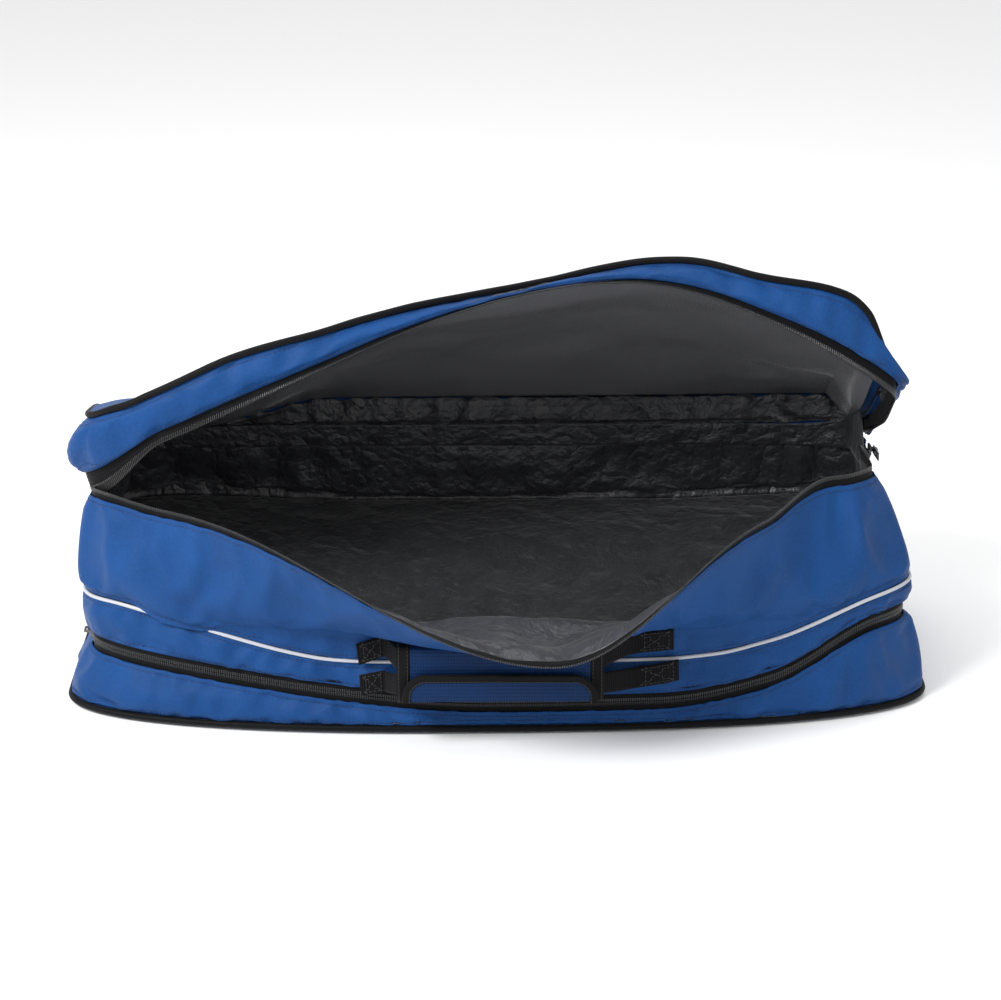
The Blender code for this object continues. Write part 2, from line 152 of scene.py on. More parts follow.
def droop(seam, x, y):
    """How far a seam has sunk towards its mid-front height."""
    start, sunk, rising, level = seam.sag
    along = np.minimum(smooth((x - start) / (sunk - start)), smooth((level - x) / (level - rising)))
    return along * (0.25 + 0.75 * smooth((0.10 - y) / 0.20))


def seam_height(seam, x, y):
    back = (y + seam.front) / (seam.front + seam.rear)
    height = seam.end_z + (seam.rear_z - seam.end_z) * back
    height = height + seam.right_rise * smooth((x - 0.24) / 0.10) * smooth((0.06 - y) / 0.16)
    return height + (seam.mid_z - seam.end_z) * droop(seam, x, y)


def at(seam, inset=0.0, lift=0.0):
    """Points of a seam at every column, moved inward by inset and up by lift."""
    x, y = plan(seam, T)
    points = np.column_stack([x, y, seam_height(seam, x, y) + lift])
    return points - OUT * np.reshape(inset, (-1, 1))


def zip_gap(turn=57):
    """Half gap between two walls at a zip; at the rear there is no zip and hardly a gap."""
    return 0.0004 + (ZIP_HALF - 0.0004) * smooth((FROM_REAR - turn) / 6)


# ---- ripples -----------------------------------------------------------------------------
def ripple(u, v, size, seed, round_length=ROUND):
    """Smooth random heights of about -1..1 on a lattice; it repeats every round_length in u."""
    count = max(3, int(round(round_length / size[0])))
    lattice = np.random.default_rng(seed).uniform(-1, 1, (count, 64))
    a, b = u / round_length * count, v / size[1]
    i, j = np.floor(a).astype(int), np.floor(b).astype(int)
    fa, fb = smooth(a - i), smooth(b - j)
    pick = lambda p, q: lattice[p % count, q % 64]
    low = pick(i, j) * (1 - fa) + pick(i + 1, j) * fa
    high = pick(i, j + 1) * (1 - fa) + pick(i + 1, j + 1) * fa
    return low * (1 - fb) + high * fb


def grid_normals(points, wrap):
    """Unit normals of a grid (rows, columns, 3), facing out of the bag for rows that climb."""
    down = np.gradient(points, axis=0)
    if wrap:
        padded = np.concatenate([points[:, -1:], points, points[:, :1]], axis=1)
        across = np.gradient(padded, axis=1)[:, 1:-1]
    else:
        across = np.gradient(points, axis=1)
    normal = np.cross(across, down)
    return normal / np.maximum(np.linalg.norm(normal, axis=2, keepdims=True), 1e-12)


# ---- meshes ------------------------------------------------------------------------------
class Soup:
    """Collects quads with UVs in metres, a material slot and a label, then makes objects of them."""

    def __init__(self):
        self.points, self.faces, self.uvs, self.slots, self.labels = [], [], [], [], []
        self.count = 0

    def quads(self, points, faces, uvs, slot=0, labels=0):
        self.points.append(np.asarray(points, float).reshape(-1, 3))
        self.uvs.append(np.asarray(uvs, float).reshape(-1, 2))
        self.faces.append(np.asarray(faces) + self.count)
        self.slots.append(np.full(len(faces), slot))
        self.labels.append(np.broadcast_to(labels, (len(faces),)).copy())
        self.count += len(self.points[-1])

    def grid(self, points, uv, wrap_rows=False, wrap_columns=False, slot=0, labels=None, flip=False):
        rows, columns = points.shape[:2]
        i = np.arange(rows if wrap_rows else rows - 1)
        j = np.arange(columns if wrap_columns else columns - 1)
        i, j = [a.ravel() for a in np.meshgrid(i, j, indexing="ij")]
        i2, j2 = (i + 1) % rows, (j + 1) % columns
        faces = np.column_stack([i * columns + j, i * columns + j2, i2 * columns + j2, i2 * columns + j])
        if flip:
            faces = faces[:, ::-1]
        chosen = 0 if labels is None else labels[i, j]
        self.quads(points, faces, uv, slot, chosen)

    def stamp(self, template, origins, axes, slot=0, labels=0):
        """Copies of a template (points, faces) with their own origin and three axes each."""
        points, faces = template
        placed = origins[:, None] + np.einsum("pk,nkd->npd", points, axes)
        count = len(points)
        every = (np.arange(len(origins)) * count)[:, None, None] + faces[None]
        uv = np.broadcast_to(points[None, :, :2], (len(origins), count, 2))
        marks = np.repeat(np.broadcast_to(labels, (len(origins),)), len(faces))
        self.quads(placed, every.reshape(-1, 4), uv, slot, marks)

    def objects(self, names, materials):
        """One object for each label, with the whole surface's normals kept across the cuts."""
        points, faces = np.concatenate(self.points), np.concatenate(self.faces)
        uvs, slots = np.concatenate(self.uvs), np.concatenate(self.slots)
        labels = np.concatenate(self.labels)
        normals = None
        if len(names) > 1:
            whole = make_mesh("whole", points, faces, uvs, slots, [])
            normals = np.zeros(len(points) * 3, np.float32)
            whole.vertex_normals.foreach_get("vector", normals)
            normals = normals.reshape(-1, 3).copy()
            bpy.data.meshes.remove(whole)
        made = []
        for label, name in enumerate(names):
            mask = labels == label
            kept, local = np.unique(faces[mask], return_inverse=True)
            mesh = make_mesh(name, points[kept], local.reshape(-1, 4), uvs[kept], slots[mask], materials)
            if normals is not None:
                mesh.normals_split_custom_set_from_vertices([tuple(n) for n in normals[kept]])
            obj = bpy.data.objects.new(name, mesh)
            bpy.context.scene.collection.objects.link(obj)
            made.append(obj)
        return made


def make_mesh(name, points, faces, uvs, slots, materials):
    mesh = bpy.data.meshes.new(name)
    mesh.vertices.add(len(points))
    mesh.vertices.foreach_set("co", np.asarray(points, np.float32).ravel())
    mesh.loops.add(len(faces) * 4)
    mesh.loops.foreach_set("vertex_index", faces.astype(np.int32).ravel())
    mesh.polygons.add(len(faces))
    mesh.polygons.foreach_set("loop_start", np.arange(0, len(faces) * 4, 4, dtype=np.int32))
    mesh.polygons.foreach_set("material_index", slots.astype(np.int32))
    layer = mesh.uv_layers.new(name="UVMap")
    layer.data.foreach_set("uv", uvs[faces.ravel()].astype(np.float32).ravel())
    for look in materials:
        mesh.materials.append(look)
    mesh.update(calc_edges=True)
    mesh.shade_smooth()
    return mesh


def shell(outer, inner):
    """Rows of a closed section: up the outer grid and down the inner one."""
    return np.concatenate([outer, inner[::-1]], axis=0)


def shell_uv(u, v):
    """UVs of a shell from a row of u and a column of v, in metres."""
    rows = np.concatenate([v, v[::-1]], axis=0)
    return np.dstack([np.broadcast_to(u, rows.shape), rows])


def shell_rows(rows):
    """The outer row of faces that each row of a shell's faces belongs to."""
    k = np.arange(2 * rows)
    return np.where(k < rows - 1, k, np.where(k == rows - 1, rows - 2,
                    np.where(k < 2 * rows - 1, 2 * rows - 2 - k, 0)))


def add_shell(soup, outer, thickness, u, v, wrap=False, labels=None):
    """A cloth of some thickness from its outer grid; labels are given for the outer faces."""
    inner = outer - grid_normals(outer, wrap) * thickness
    rows = outer.shape[0]
    marks = None if labels is None else labels[shell_rows(rows)]
    soup.grid(shell(outer, inner), shell_uv(u, v), True, wrap, 0, marks)
    if wrap:
        return
    for column in (0, -1):
        ends = np.stack([outer[:, column], inner[:, column]], axis=1)
        uv = np.dstack([np.tile([0.0, thickness], (rows, 1)), np.repeat(v[:, column:][:, :1], 2, axis=1)])
        mark = None if marks is None else marks[:rows - 1, column:][:, :1]
        soup.grid(ends, uv, False, False, 0, mark, flip=column == 0)


def tube(soup, path, radius, sides, wrap=True, labels=None):
    """A round cord along a path (columns, 3)."""
    if wrap:
        along = np.roll(path, -1, axis=0) - np.roll(path, 1, axis=0)
    else:
        along = np.gradient(path, axis=0)
    along /= np.linalg.norm(along, axis=1, keepdims=True)
    side = np.cross(along, (0, 0, 1.0))
    side /= np.maximum(np.linalg.norm(side, axis=1, keepdims=True), 1e-9)
    up = np.cross(side, along)
    turn = np.arange(sides) * 2 * math.pi / sides
    rings = np.stack([path + side * radius * math.cos(a) + up * radius * math.sin(a) for a in turn])
    uv = np.dstack([np.broadcast_to(run_along(path), (sides, len(path))),
                    np.broadcast_to((turn * radius)[:, None], (sides, len(path)))])
    marks = None if labels is None else np.broadcast_to(labels, (sides, len(path)))
    soup.grid(rings, uv, True, wrap, 0, marks)
    if not wrap:
        add_cap(soup, rings[:, 0], True)
        add_cap(soup, rings[:, -1], False)


def add_cap(soup, rim, flip):
    """Closes the end of a tube round the middle of its rim."""
    centre = rim.mean(axis=0)
    cap = np.stack([rim, centre + (rim - centre) * 0.02])
    soup.grid(cap, np.zeros((2, len(rim), 2)), False, True, flip=flip)


def capsule(length, radius, sides=6, rings=(0.0, 0.12, 0.88, 1.0), girth=(0.45, 1.0, 1.0, 0.45)):
    """Template of a small rounded bar along its first axis, closed by quads."""
    points = []
    for share, wide in zip(rings, girth):
        for k in range(sides):
            turn = 2 * math.pi * k / sides
            points.append(((share - 0.5) * length, math.cos(turn) * radius * wide,
                           math.sin(turn) * radius * wide))
    faces = []
    for ring in range(len(rings) - 1):
        for k in range(sides):
            n = (k + 1) % sides
            faces.append((ring * sides + k, ring * sides + n, (ring + 1) * sides + n, (ring + 1) * sides + k))
    last = (len(rings) - 1) * sides
    for k in range(1, sides - 2, 2):
        faces.append((0, k + 2, k + 1, k))
        faces.append((last, last + k, last + k + 1, last + k + 2))
    return np.array(points), np.array(faces)


# ---- cloth simulation --------------------------------------------------------------------
def blurred(values, times):
    """Values of a grid round the bag, averaged with their neighbours a few times."""
    for _ in range(times):
        padded = np.concatenate([values[:1], values, values[-1:]])
        values = (padded[:-2] + 2 * padded[1:-1] + padded[2:]) / 4
        padded = np.concatenate([values[:, -1:], values, values[:, :1]], axis=1)
        values = (padded[:, :-2] + 2 * padded[:, 1:-1] + padded[:, 2:]) / 4
    return values


def crumple(grid, pinned_rows, spread, frames, cap):
    """Grows a pinned sheet by a share of its size, so that it buckles; a point moves cap at most."""
    rows, columns = grid.shape[:2]
    soup = Soup()
    soup.grid(grid, np.zeros((rows, columns, 2)), False, True)
    sheet = soup.objects(["sheet"], [])[0]
    pins = sheet.vertex_groups.new(name="pins")
    index = np.arange(rows * columns).reshape(rows, columns)
    held = np.concatenate([index[r] for r in pinned_rows])
    pins.add([int(i) for i in np.unique(held)], 1.0, "REPLACE")
    cloth = sheet.modifiers.new("cloth", "CLOTH")
    settings = cloth.settings
    settings.quality = 5
    settings.mass = 0.15
    settings.tension_stiffness = 20
    settings.compression_stiffness = 20
    settings.shear_stiffness = 8
    settings.bending_stiffness = 4
    settings.tension_damping = settings.compression_damping = 8
    settings.shear_damping = 8
    settings.air_damping = 3
    settings.vertex_group_mass = "pins"
    settings.shrink_min = -spread
    settings.effector_weights.gravity = 0.2
    cloth.collision_settings.use_collision = False
    cloth.point_cache.frame_start = 1
    cloth.point_cache.frame_end = frames
    scene = bpy.context.scene
    for step in range(1, frames + 1):
        scene.frame_set(step)
    settled = sheet.evaluated_get(bpy.context.evaluated_depsgraph_get()).to_mesh()
    moved = np.zeros(rows * columns * 3, np.float32)
    settled.vertices.foreach_get("co", moved)
    moved = moved.reshape(rows, columns, 3).astype(float)
    bpy.data.objects.remove(sheet, do_unlink=True)
    scene.frame_set(1)
    shift = blurred(moved - grid, 1)
    shift[list(pinned_rows)] = 0
    size = np.maximum(np.linalg.norm(shift, axis=2, keepdims=True), 1e-9)
    return grid + shift / size * cap * np.tanh(size / cap)


# ---- the two open parts ------------------------------------------------------------------
def turn_about(points, axis, angle):
    """Turns points about an X line through axis = (y, z); a positive angle lifts the front."""
    y, z = points[..., 1] - axis[0], points[..., 2] - axis[1]
    c, s = np.cos(angle), np.sin(angle)
    return np.stack([points[..., 0], axis[0] + y * c + z * s, axis[1] - y * s + z * c], axis=-1)


def fade(x, left, peak, right):
    return np.where(x < peak, smooth((x - left) / (peak - left)), smooth((right - x) / (right - peak)))


def lid_share(points):
    """0 at the lid's zip to 1 at its top seam."""
    x, y = points[..., 0], points[..., 1]
    low, high = seam_height(UPPER_ZIP, x, y), seam_height(LID, x, y)
    return np.clip((points[..., 2] - low) / (high - low) / 0.845, 0, 1)


def lift_lid(points):
    """Closed lid to the open one: how its top edge sags and stands, then the turn about the rear seam."""
    share = lid_share(points)
    x, y, z = points[..., 0], points[..., 1], points[..., 2]
    tuck = np.exp(-((x - 0.020) / 0.145) ** 2) * smooth(-y / 0.120) * share
    fore = smooth((0.06 - y) / 0.12) * share
    stand = 0.014 * smooth((-0.13 - x) / 0.12) + 0.006 * smooth((-0.31 - x) / 0.05)
    stand = stand + 0.025 * smooth((x - 0.215) / 0.10)
    settled = 0.022 * smooth((-0.16 - x) / 0.12) * smooth((y + 0.02) / 0.12) * share
    sunk = 0.024 * smooth((x - 0.330) / 0.045) * share ** 2
    pulled = 0.024 * smooth((x - 0.300) / 0.075) * share ** 2
    pulled = pulled - 0.016 * smooth((-0.300 - x) / 0.070) * share ** 2
    left_foot = smooth((-0.290 - x) / 0.055) * smooth((0.150 - y) / 0.150) * (1 - share) ** 1.3
    right_foot = smooth((x - 0.300) / 0.050) * smooth((y + 0.11) / 0.10) * smooth((0.14 - y) / 0.04)
    right_foot = right_foot * (1 - share)
    belly = share * (1 - share) * (0.060 * smooth((-0.290 - x) / 0.060) + 0.012 * smooth((x - 0.310) / 0.045))
    moved_x = x - pulled + np.sign(x) * (belly + 0.003 * (left_foot + right_foot))
    moved_z = z - 0.022 * tuck + stand * fore - sunk - settled - 0.030 * left_foot - 0.014 * right_foot
    shaped = np.stack([moved_x, y + 0.030 * tuck, moved_z], axis=-1)
    return turn_about(shaped, LID_AXIS, LID_OPEN * fade(x, LID_LEFT, LID_PEAK, LID_RIGHT))


def wall_share(points):
    """0 at the white piping to 1 at the mouth's zip."""
    x, y = points[..., 0], points[..., 1]
    low, high = seam_height(PIPING, x, y), seam_height(UPPER_ZIP, x, y)
    return np.clip((points[..., 2] - low) / (high - low), 0, 1.2)


def drop_front(points):
    """Upright wall to the slack one: the right front corner leans in, the front folds out and down."""
    share = wall_share(points)
    x, y = points[..., 0], points[..., 1]
    corner = smooth((x - 0.225) / 0.070) * smooth((0.045 - y) / 0.070) * share
    left_end = smooth((-0.290 - x) / 0.060) * smooth((0.045 - y) / 0.070) * share
    x = x - 0.016 * corner * smooth((x - 0.300) / 0.050) - 0.008 * left_end
    y = y + 0.030 * corner
    z = points[..., 2] + 0.014 * corner + 0.010 * left_end
    leaned = np.stack([x, y, z], axis=-1)
    front = smooth((-0.060 - points[..., 1]) / 0.020)
    reach = np.maximum(z - FOLD_HEIGHT, 0)
    angle = FLAP_DROP * fade(points[..., 0], FLAP_LEFT, FLAP_PEAK, FLAP_RIGHT) * front
    turned = turn_about(leaned, FLAP_AXIS, -angle * (0.5 + 0.5 * smooth(reach / 0.022)))
    turned[..., 2] -= 0.0085 * (angle / FLAP_DROP) ** 2 * share ** 2
    under = np.maximum(FOLD_HEIGHT - z, 0)
    dip = under * np.sin(angle / 2 * (1 - smooth(under / 0.014)))
    dipped = np.stack([x, y + dip, z], axis=-1)
    return np.where((z >= FOLD_HEIGHT)[..., None], turned, dipped)


# ---- materials ---------------------------------------------------------------------------
class Look:
    """A Principled material under construction, with UVs in metres."""

    def __init__(self, name, colour, roughness, metallic=0.0, sheen=0.0, coat=0.0, specular=0.5, solid=False):
        self.material = bpy.data.materials.new(name)
        self.material.use_nodes = True
        self.tree = self.material.node_tree
        self.shader = self.tree.nodes["Principled BSDF"]
        set_to = self.shader.inputs
        set_to["Base Color"].default_value = (*colour, 1)
        set_to["Roughness"].default_value = roughness
        set_to["Metallic"].default_value = metallic
        set_to["Sheen Weight"].default_value = sheen
        set_to["Sheen Roughness"].default_value = 0.45
        set_to["Coat Weight"].default_value = coat
        set_to["Coat Roughness"].default_value = 0.12
        set_to["Specular IOR Level"].default_value = specular
        self.uv = self.node("ShaderNodeTexCoord").outputs["Object" if solid else "UV"]

    def node(self, kind, values=None, **settings):
        made = self.tree.nodes.new(kind)
        for key, value in settings.items():
            setattr(made, key, value)
        for key, value in (values or {}).items():
            if hasattr(value, "links"):
                self.tree.links.new(value, made.inputs[key])
            else:
                made.inputs[key].default_value = value
        return made

    def link(self, output, socket):
        self.tree.links.new(output, self.shader.inputs[socket])

    def turned(self, degrees):
        return self.node("ShaderNodeMapping", {"Vector": self.uv, "Rotation": (0, 0, math.radians(degrees))}
                         ).outputs[0]

    def wave(self, pitch, direction, vector=None, profile="SIN"):
        return self.node("ShaderNodeTexWave", {"Vector": vector or self.uv, "Scale": math.pi / 10 / pitch},
                         bands_direction=direction, wave_profile=profile).outputs["Fac"]

    def noise(self, size, detail=2.0, vector=None):
        return self.node("ShaderNodeTexNoise", {"Vector": vector or self.uv, "Scale": 1 / size,
                                                "Detail": detail}).outputs["Fac"]

    def math(self, operation, a, b=0.0):
        return self.node("ShaderNodeMath", {0: a, 1: b}, operation=operation).outputs[0]

    def ramp(self, value, low, high, to_low=0.0, to_high=1.0):
        return self.node("ShaderNodeMapRange", {"Value": value, "From Min": low, "From Max": high,
                                                "To Min": to_low, "To Max": to_high}).outputs[0]

    def blend(self, factor, first, second):
        made = self.node("ShaderNodeMix", {"Factor": factor}, data_type="RGBA")
        for socket, value in ((made.inputs[6], first), (made.inputs[7], second)):
            if hasattr(value, "links"):
                self.tree.links.new(value, socket)
            else:
                socket.default_value = (*value, 1)
        return made.outputs[2]

    def bump(self, height, distance, strength=1.0, under=None):
        values = {"Height": height, "Distance": distance, "Strength": strength}
        if under is not None:
            values["Normal"] = under
        return self.node("ShaderNodeBump", values).outputs[0]

    def basket(self, pitch, vector=None):
        """Height of a plain weave: warp and weft floats take turns."""
        vector = vector or self.uv
        warp = self.wave(pitch, "X", vector)
        weft = self.wave(pitch, "Y", vector)
        turn = self.node("ShaderNodeTexChecker", {"Vector": vector, "Scale": 1 / pitch}).outputs["Fac"]
        values = {"Factor": turn, "A": warp, "B": weft}
        return self.node("ShaderNodeMix", values, data_type="FLOAT").outputs[0]


def scaled(colour, factor):
    return tuple(c * factor for c in colour)


def cloth_look(name, colour, pitch=0.0011, roughness=0.46, sheen=0.05, deep=0.62):
    """Woven polyester: yarn relief, slubs, faint cloudiness and soft handling creases."""
    look = Look(name, colour, roughness, sheen=sheen, specular=0.14)
    look.shader.inputs["Sheen Tint"].default_value = (0.45, 0.62, 1.0, 1)
    yarns = look.basket(pitch)
    slub = look.noise(0.004, 1.0, look.node("ShaderNodeMapping", {"Vector": look.uv, "Scale": (1, 9, 1)}
                                            ).outputs[0])
    clouds = look.noise(0.055, 3.0)
    tone = look.blend(look.ramp(clouds, 0.35, 0.68), scaled(colour, 0.84), scaled(colour, 1.12))
    tone = look.blend(look.ramp(yarns, 0.0, 0.8, 0.42, 0.0), tone, scaled(colour, deep))
    tone = look.blend(look.ramp(slub, 0.58, 0.75, 0.0, 0.16), tone, scaled(colour, 1.5))
    grain = look.noise(0.0024, 2.0)
    tone = look.blend(look.ramp(grain, 0.35, 0.65, 0.0, 0.30), tone, scaled(colour, 1.45))
    look.link(tone, "Base Color")
    look.link(look.ramp(clouds, 0.3, 0.7, roughness - 0.05, roughness + 0.07), "Roughness")
    creases = look.noise(0.016, 3.0)
    soft = look.bump(creases, 0.0016, 0.28)
    soft = look.bump(grain, 0.0005, 0.35, soft)
    look.link(look.bump(yarns, 0.00022, 0.55, soft), "Normal")
    return look.material


def ribbed_look(name, colour, pitch, roughness=0.62, direction="X", depth=0.0004, twill=None, sheen=0.04,
                solid=False):
    """Webbing, tape and binding: ribs across a fine herringbone."""
    look = Look(name, colour, roughness, sheen=sheen, specular=0.08, solid=solid)
    ribs = look.wave(pitch, direction)
    cross = look.wave(pitch * (twill or 0.8), "DIAGONAL")
    height = look.math("ADD", look.math("MULTIPLY", ribs, 0.75), look.math("MULTIPLY", cross, 0.25))
    tone = look.blend(look.ramp(height, 0.1, 0.9), scaled(colour, 0.55), scaled(colour, 1.5))
    dust = look.noise(0.018, 4.0)
    tone = look.blend(look.ramp(dust, 0.5, 0.85, 0.0, 0.25), tone, scaled(colour, 2.4))
    look.link(tone, "Base Color")
    look.link(look.ramp(dust, 0.3, 0.7, roughness - 0.06, roughness + 0.08), "Roughness")
    look.link(look.bump(height, depth, 0.8, look.bump(dust, 0.0008, 0.2)), "Normal")
    return look.material


def satin_look(name, colour, roughness, crease=0.5, coat=0.0):
    """Thin coated lining: tight weave, satin shine and crumpled creases."""
    look = Look(name, colour, roughness, sheen=0.1, coat=coat, specular=0.5)
    yarns = look.basket(0.0008)
    folds = look.noise(0.030, 4.0)
    ridges = look.math("ABSOLUTE", look.math("SUBTRACT", folds, 0.5))
    crumple_height = look.ramp(ridges, 0.0, 0.16)
    tone = look.blend(look.ramp(folds, 0.35, 0.65), scaled(colour, 0.85), scaled(colour, 1.15))
    tone = look.blend(look.ramp(yarns, 0, 1, 0.25, 0.0), tone, scaled(colour, 0.6))
    look.link(tone, "Base Color")
    look.link(look.ramp(folds, 0.3, 0.7, roughness - 0.06, roughness + 0.08), "Roughness")
    wide = look.bump(crumple_height, 0.004, crease)
    look.link(look.bump(yarns, 0.00012, 0.4, wide), "Normal")
    return look.material


def foil_look():
    """Laminated foil, dark in itself, given a mid-grey base colour as painted reflection: a fine diagonal
    grain under a glossy skin that ripples.
    """
    # mid-grey base colour: painted reflection of the lit interior, in place of the dark foil's own colour
    colour = (0.150, 0.151, 0.165)
    look = Look("lining_foil", colour, 0.24, metallic=0.20, coat=0.40, specular=0.6)
    look.shader.inputs["Coat Roughness"].default_value = 0.16
    grain = look.basket(0.0018, look.turned(52))
    ripples = look.noise(0.080, 3.0)
    creases = look.noise(0.035, 4.0)
    tone = look.blend(look.ramp(grain, 0.1, 0.9), scaled(colour, 0.5), scaled(colour, 1.9))
    look.link(tone, "Base Color")
    look.link(look.ramp(grain, 0.0, 1.0, 0.34, 0.20), "Roughness")
    wide = look.bump(ripples, 0.012, 0.5)
    wide = look.bump(creases, 0.003, 0.35, wide)
    look.link(look.bump(grain, 0.00022, 0.45, wide), "Normal")
    return look.material


def plain_look(name, colour, roughness, size, metallic=0.0, depth=0.0002, coat=0.0, spread=0.25,
               solid=False):
    """Moulded, plated or threaded parts: mottled tone and finish, and a fine grain."""
    look = Look(name, colour, roughness, metallic=metallic, coat=coat, solid=solid)
    grain = look.noise(size, 4.0)
    look.link(look.blend(look.ramp(grain, 0.3, 0.7), scaled(colour, 1 - spread), scaled(colour, 1 + spread)),
              "Base Color")
    look.link(look.ramp(grain, 0.3, 0.7, roughness - 0.07, roughness + 0.09), "Roughness")
    look.link(look.bump(grain, depth, 0.5), "Normal")
    return look.material


def mesh_look():
    """Blue grip mesh: rows of small open cells between ribs."""
    colour = (0.0016, 0.018, 0.070)
    look = Look("grip_mesh", colour, 0.6, sheen=0.04, specular=0.14)
    look.shader.inputs["Sheen Tint"].default_value = (0.45, 0.62, 1.0, 1)
    across, along = look.wave(0.0024, "X"), look.wave(0.0034, "Y")
    cells = look.math("MULTIPLY", across, along)
    dust = look.noise(0.03, 3.0)
    tone = look.blend(look.ramp(cells, 0.35, 0.75), scaled(colour, 1.1), scaled(colour, 0.25))
    tone = look.blend(look.ramp(dust, 0.4, 0.7, 0.0, 0.3), tone, scaled(colour, 1.35))
    look.link(tone, "Base Color")
    look.link(look.ramp(dust, 0.3, 0.7, 0.52, 0.66), "Roughness")
    look.link(look.bump(look.math("SUBTRACT", 1.0, cells), 0.0006, 0.6), "Normal")
    return look.material


BLUE = (0.0048, 0.047, 0.172)
BLACK = (0.0038, 0.0038, 0.0044)
BLUE_CLOTH = cloth_look("cloth_blue", BLUE)
THREAD = plain_look("thread_blue", (0.003, 0.022, 0.090), 0.6, 0.0012)
BLACK_THREAD = plain_look("thread_black", (0.010, 0.010, 0.011), 0.55, 0.0012)
TAPE = ribbed_look("tape_black", BLACK, 0.0011, 0.66, "Y", 0.00025)
COIL = plain_look("coil_black", (0.006, 0.006, 0.0065), 0.30, 0.003, coat=0.2)
BLACK_CORD = ribbed_look("piping_black", BLACK, 0.0015, 0.5, "DIAGONAL", 0.00025)
WHITE_CORD = plain_look("piping_white", (0.42, 0.43, 0.47), 0.36, 0.0015, depth=0.0001, spread=0.05)
GREY_SATIN = satin_look("lining_grey", (0.018, 0.019, 0.023), 0.36)
PALE_SATIN = satin_look("lining_front", (0.028, 0.029, 0.036), 0.38)
FLOOR_SATIN = satin_look("lining_floor", (0.018, 0.019, 0.022), 0.42)
FOIL = foil_look()
WEBBING = ribbed_look("webbing_black", BLACK, 0.0023, 0.6, "X", 0.0007)
BINDING = ribbed_look("binding_black", (0.0048, 0.0046, 0.0046), 0.0012, 0.55, "X", 0.0003)
GRIP = mesh_look()
METAL = plain_look("slider_metal", (0.135, 0.130, 0.125), 0.30, 0.0018, metallic=1.0, depth=0.00006,
                   solid=True)
HOOK = ribbed_look("hook_black", BLACK, 0.0012, 0.5, "X", 0.0006, solid=True)
LOOP = ribbed_look("loop_black", BLACK, 0.0009, 0.9, "DIAGONAL", 0.0006, sheen=0.4, solid=True)


# ---- placing the pieces ------------------------------------------------------------------
BLENDS = {"lid_left": ("lid_body", LID_LEFT, LID_PEAK),
          "lid_right": ("lid_body", LID_RIGHT - 0.016, LID_PEAK),
          "front_left": ("front_wall_body", FLAP_LEFT, FLAP_PEAK),
          "front_right": ("front_wall_body", FLAP_RIGHT, FLAP_PEAK)}


def place(obj, where, nodes, slot):
    """Rides on a body; a piece listed in BLENDS is baked in place where it stands."""
    if where in BLENDS:
        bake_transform(obj)
    else:
        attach(obj, where)
    if nodes:
        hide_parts(*nodes)
    return obj


def row_shares(height, edge=0.009, fine=0.0015, coarse=0.0042):
    """Row positions 0-1 up a wall: close together near both edges."""
    near = np.arange(0, edge, fine)
    count = max(2, int(round((height - 2 * edge) / coarse)))
    marks = np.concatenate([near, np.linspace(edge, height - edge, count + 1), height - near[::-1]])
    return marks / height


def between(low, high, shares):
    """Rows of points between two lines; shares may differ by column."""
    s = np.reshape(shares, (len(shares), -1))[..., None]
    return low[None] * (1 - s) + high[None] * s


def edge_runs(grid):
    """Distances of every row from the low and the high edge, along the wall."""
    steps = np.linalg.norm(np.diff(grid, axis=0), axis=2)
    from_low = np.concatenate([np.zeros((1, grid.shape[1])), np.cumsum(steps, axis=0)])
    return from_low, from_low[-1] - from_low


AT_ZIP = smooth((FROM_REAR - 57) / 6)                     # 1 where a zip runs, 0 along the rear


def puff(grid, swell, tuck_low, tuck_high, reach=0.011):
    """Padded wall: swells between its edges, drawn in by the seams, with a groove at each stitch row."""
    low, high = edge_runs(grid)
    share = low / np.maximum(low[-1], 1e-9)
    offset = swell * np.sin(math.pi * share) ** 0.8
    offset = offset - tuck_low * (1 - smooth(low / reach)) - tuck_high * (1 - smooth(high / reach))
    for run in (low, high):
        offset = offset - 0.0009 * np.exp(-((run - SEAM_STITCH) / 0.0013) ** 2)
    return grid + OUT[None] * offset[..., None]


def column_marks(line, pitch):
    """Fractional column numbers at an even spacing along a line."""
    run = run_along(line)
    count = max(2, int(run[-1] / pitch))
    return np.interp((np.arange(count) + 0.5) * run[-1] / count, run, np.arange(len(line)))


def pick(line, marks):
    i = np.clip(np.floor(marks).astype(int), 0, len(line) - 2)
    f = (marks - i)[:, None]
    return line[i] * (1 - f) + line[i + 1] * f


def unit(vectors):
    return vectors / np.maximum(np.linalg.norm(vectors, axis=-1, keepdims=True), 1e-12)


SEAM_STITCH = 0.0042            # a seam's stitches: their pitch and their distance from the edge
FINE_STITCH = 0.0034            # the pitch on the webbing and the flap
COIL_PITCH = 0.0020
STITCH = capsule(0.0030, 0.00042)
TOOTH = capsule(1.0, 0.00082, rings=(0.0, 0.18, 0.62, 0.86, 1.0), girth=(0.7, 0.85, 1.0, 1.25, 0.6))


def stitches(soup, grid, normals, run, columns, labels):
    """A row of stitches on a cloth, a stitch's length from the edge that run is measured from."""
    order = np.argsort(run[:, 0])
    line = np.empty((len(columns), 3))
    facing = np.empty((len(columns), 3))
    for n, c in enumerate(columns):
        for k in range(3):
            line[n, k] = np.interp(SEAM_STITCH, run[order, c], grid[order, c, k])
            facing[n, k] = np.interp(SEAM_STITCH, run[order, c], normals[order, c, k])
    marks = column_marks(line, SEAM_STITCH)
    origin, up = pick(line, marks), unit(pick(facing, marks))
    along = unit(pick(line, np.minimum(marks + 0.5, len(line) - 1)) - pick(line, marks - 0.5))
    axes = np.stack([along, np.cross(up, along), up], axis=1)
    chosen = labels[columns[np.floor(marks).astype(int)]]
    soup.stamp(STITCH, origin + up * 0.00012, axes, 1, chosen)


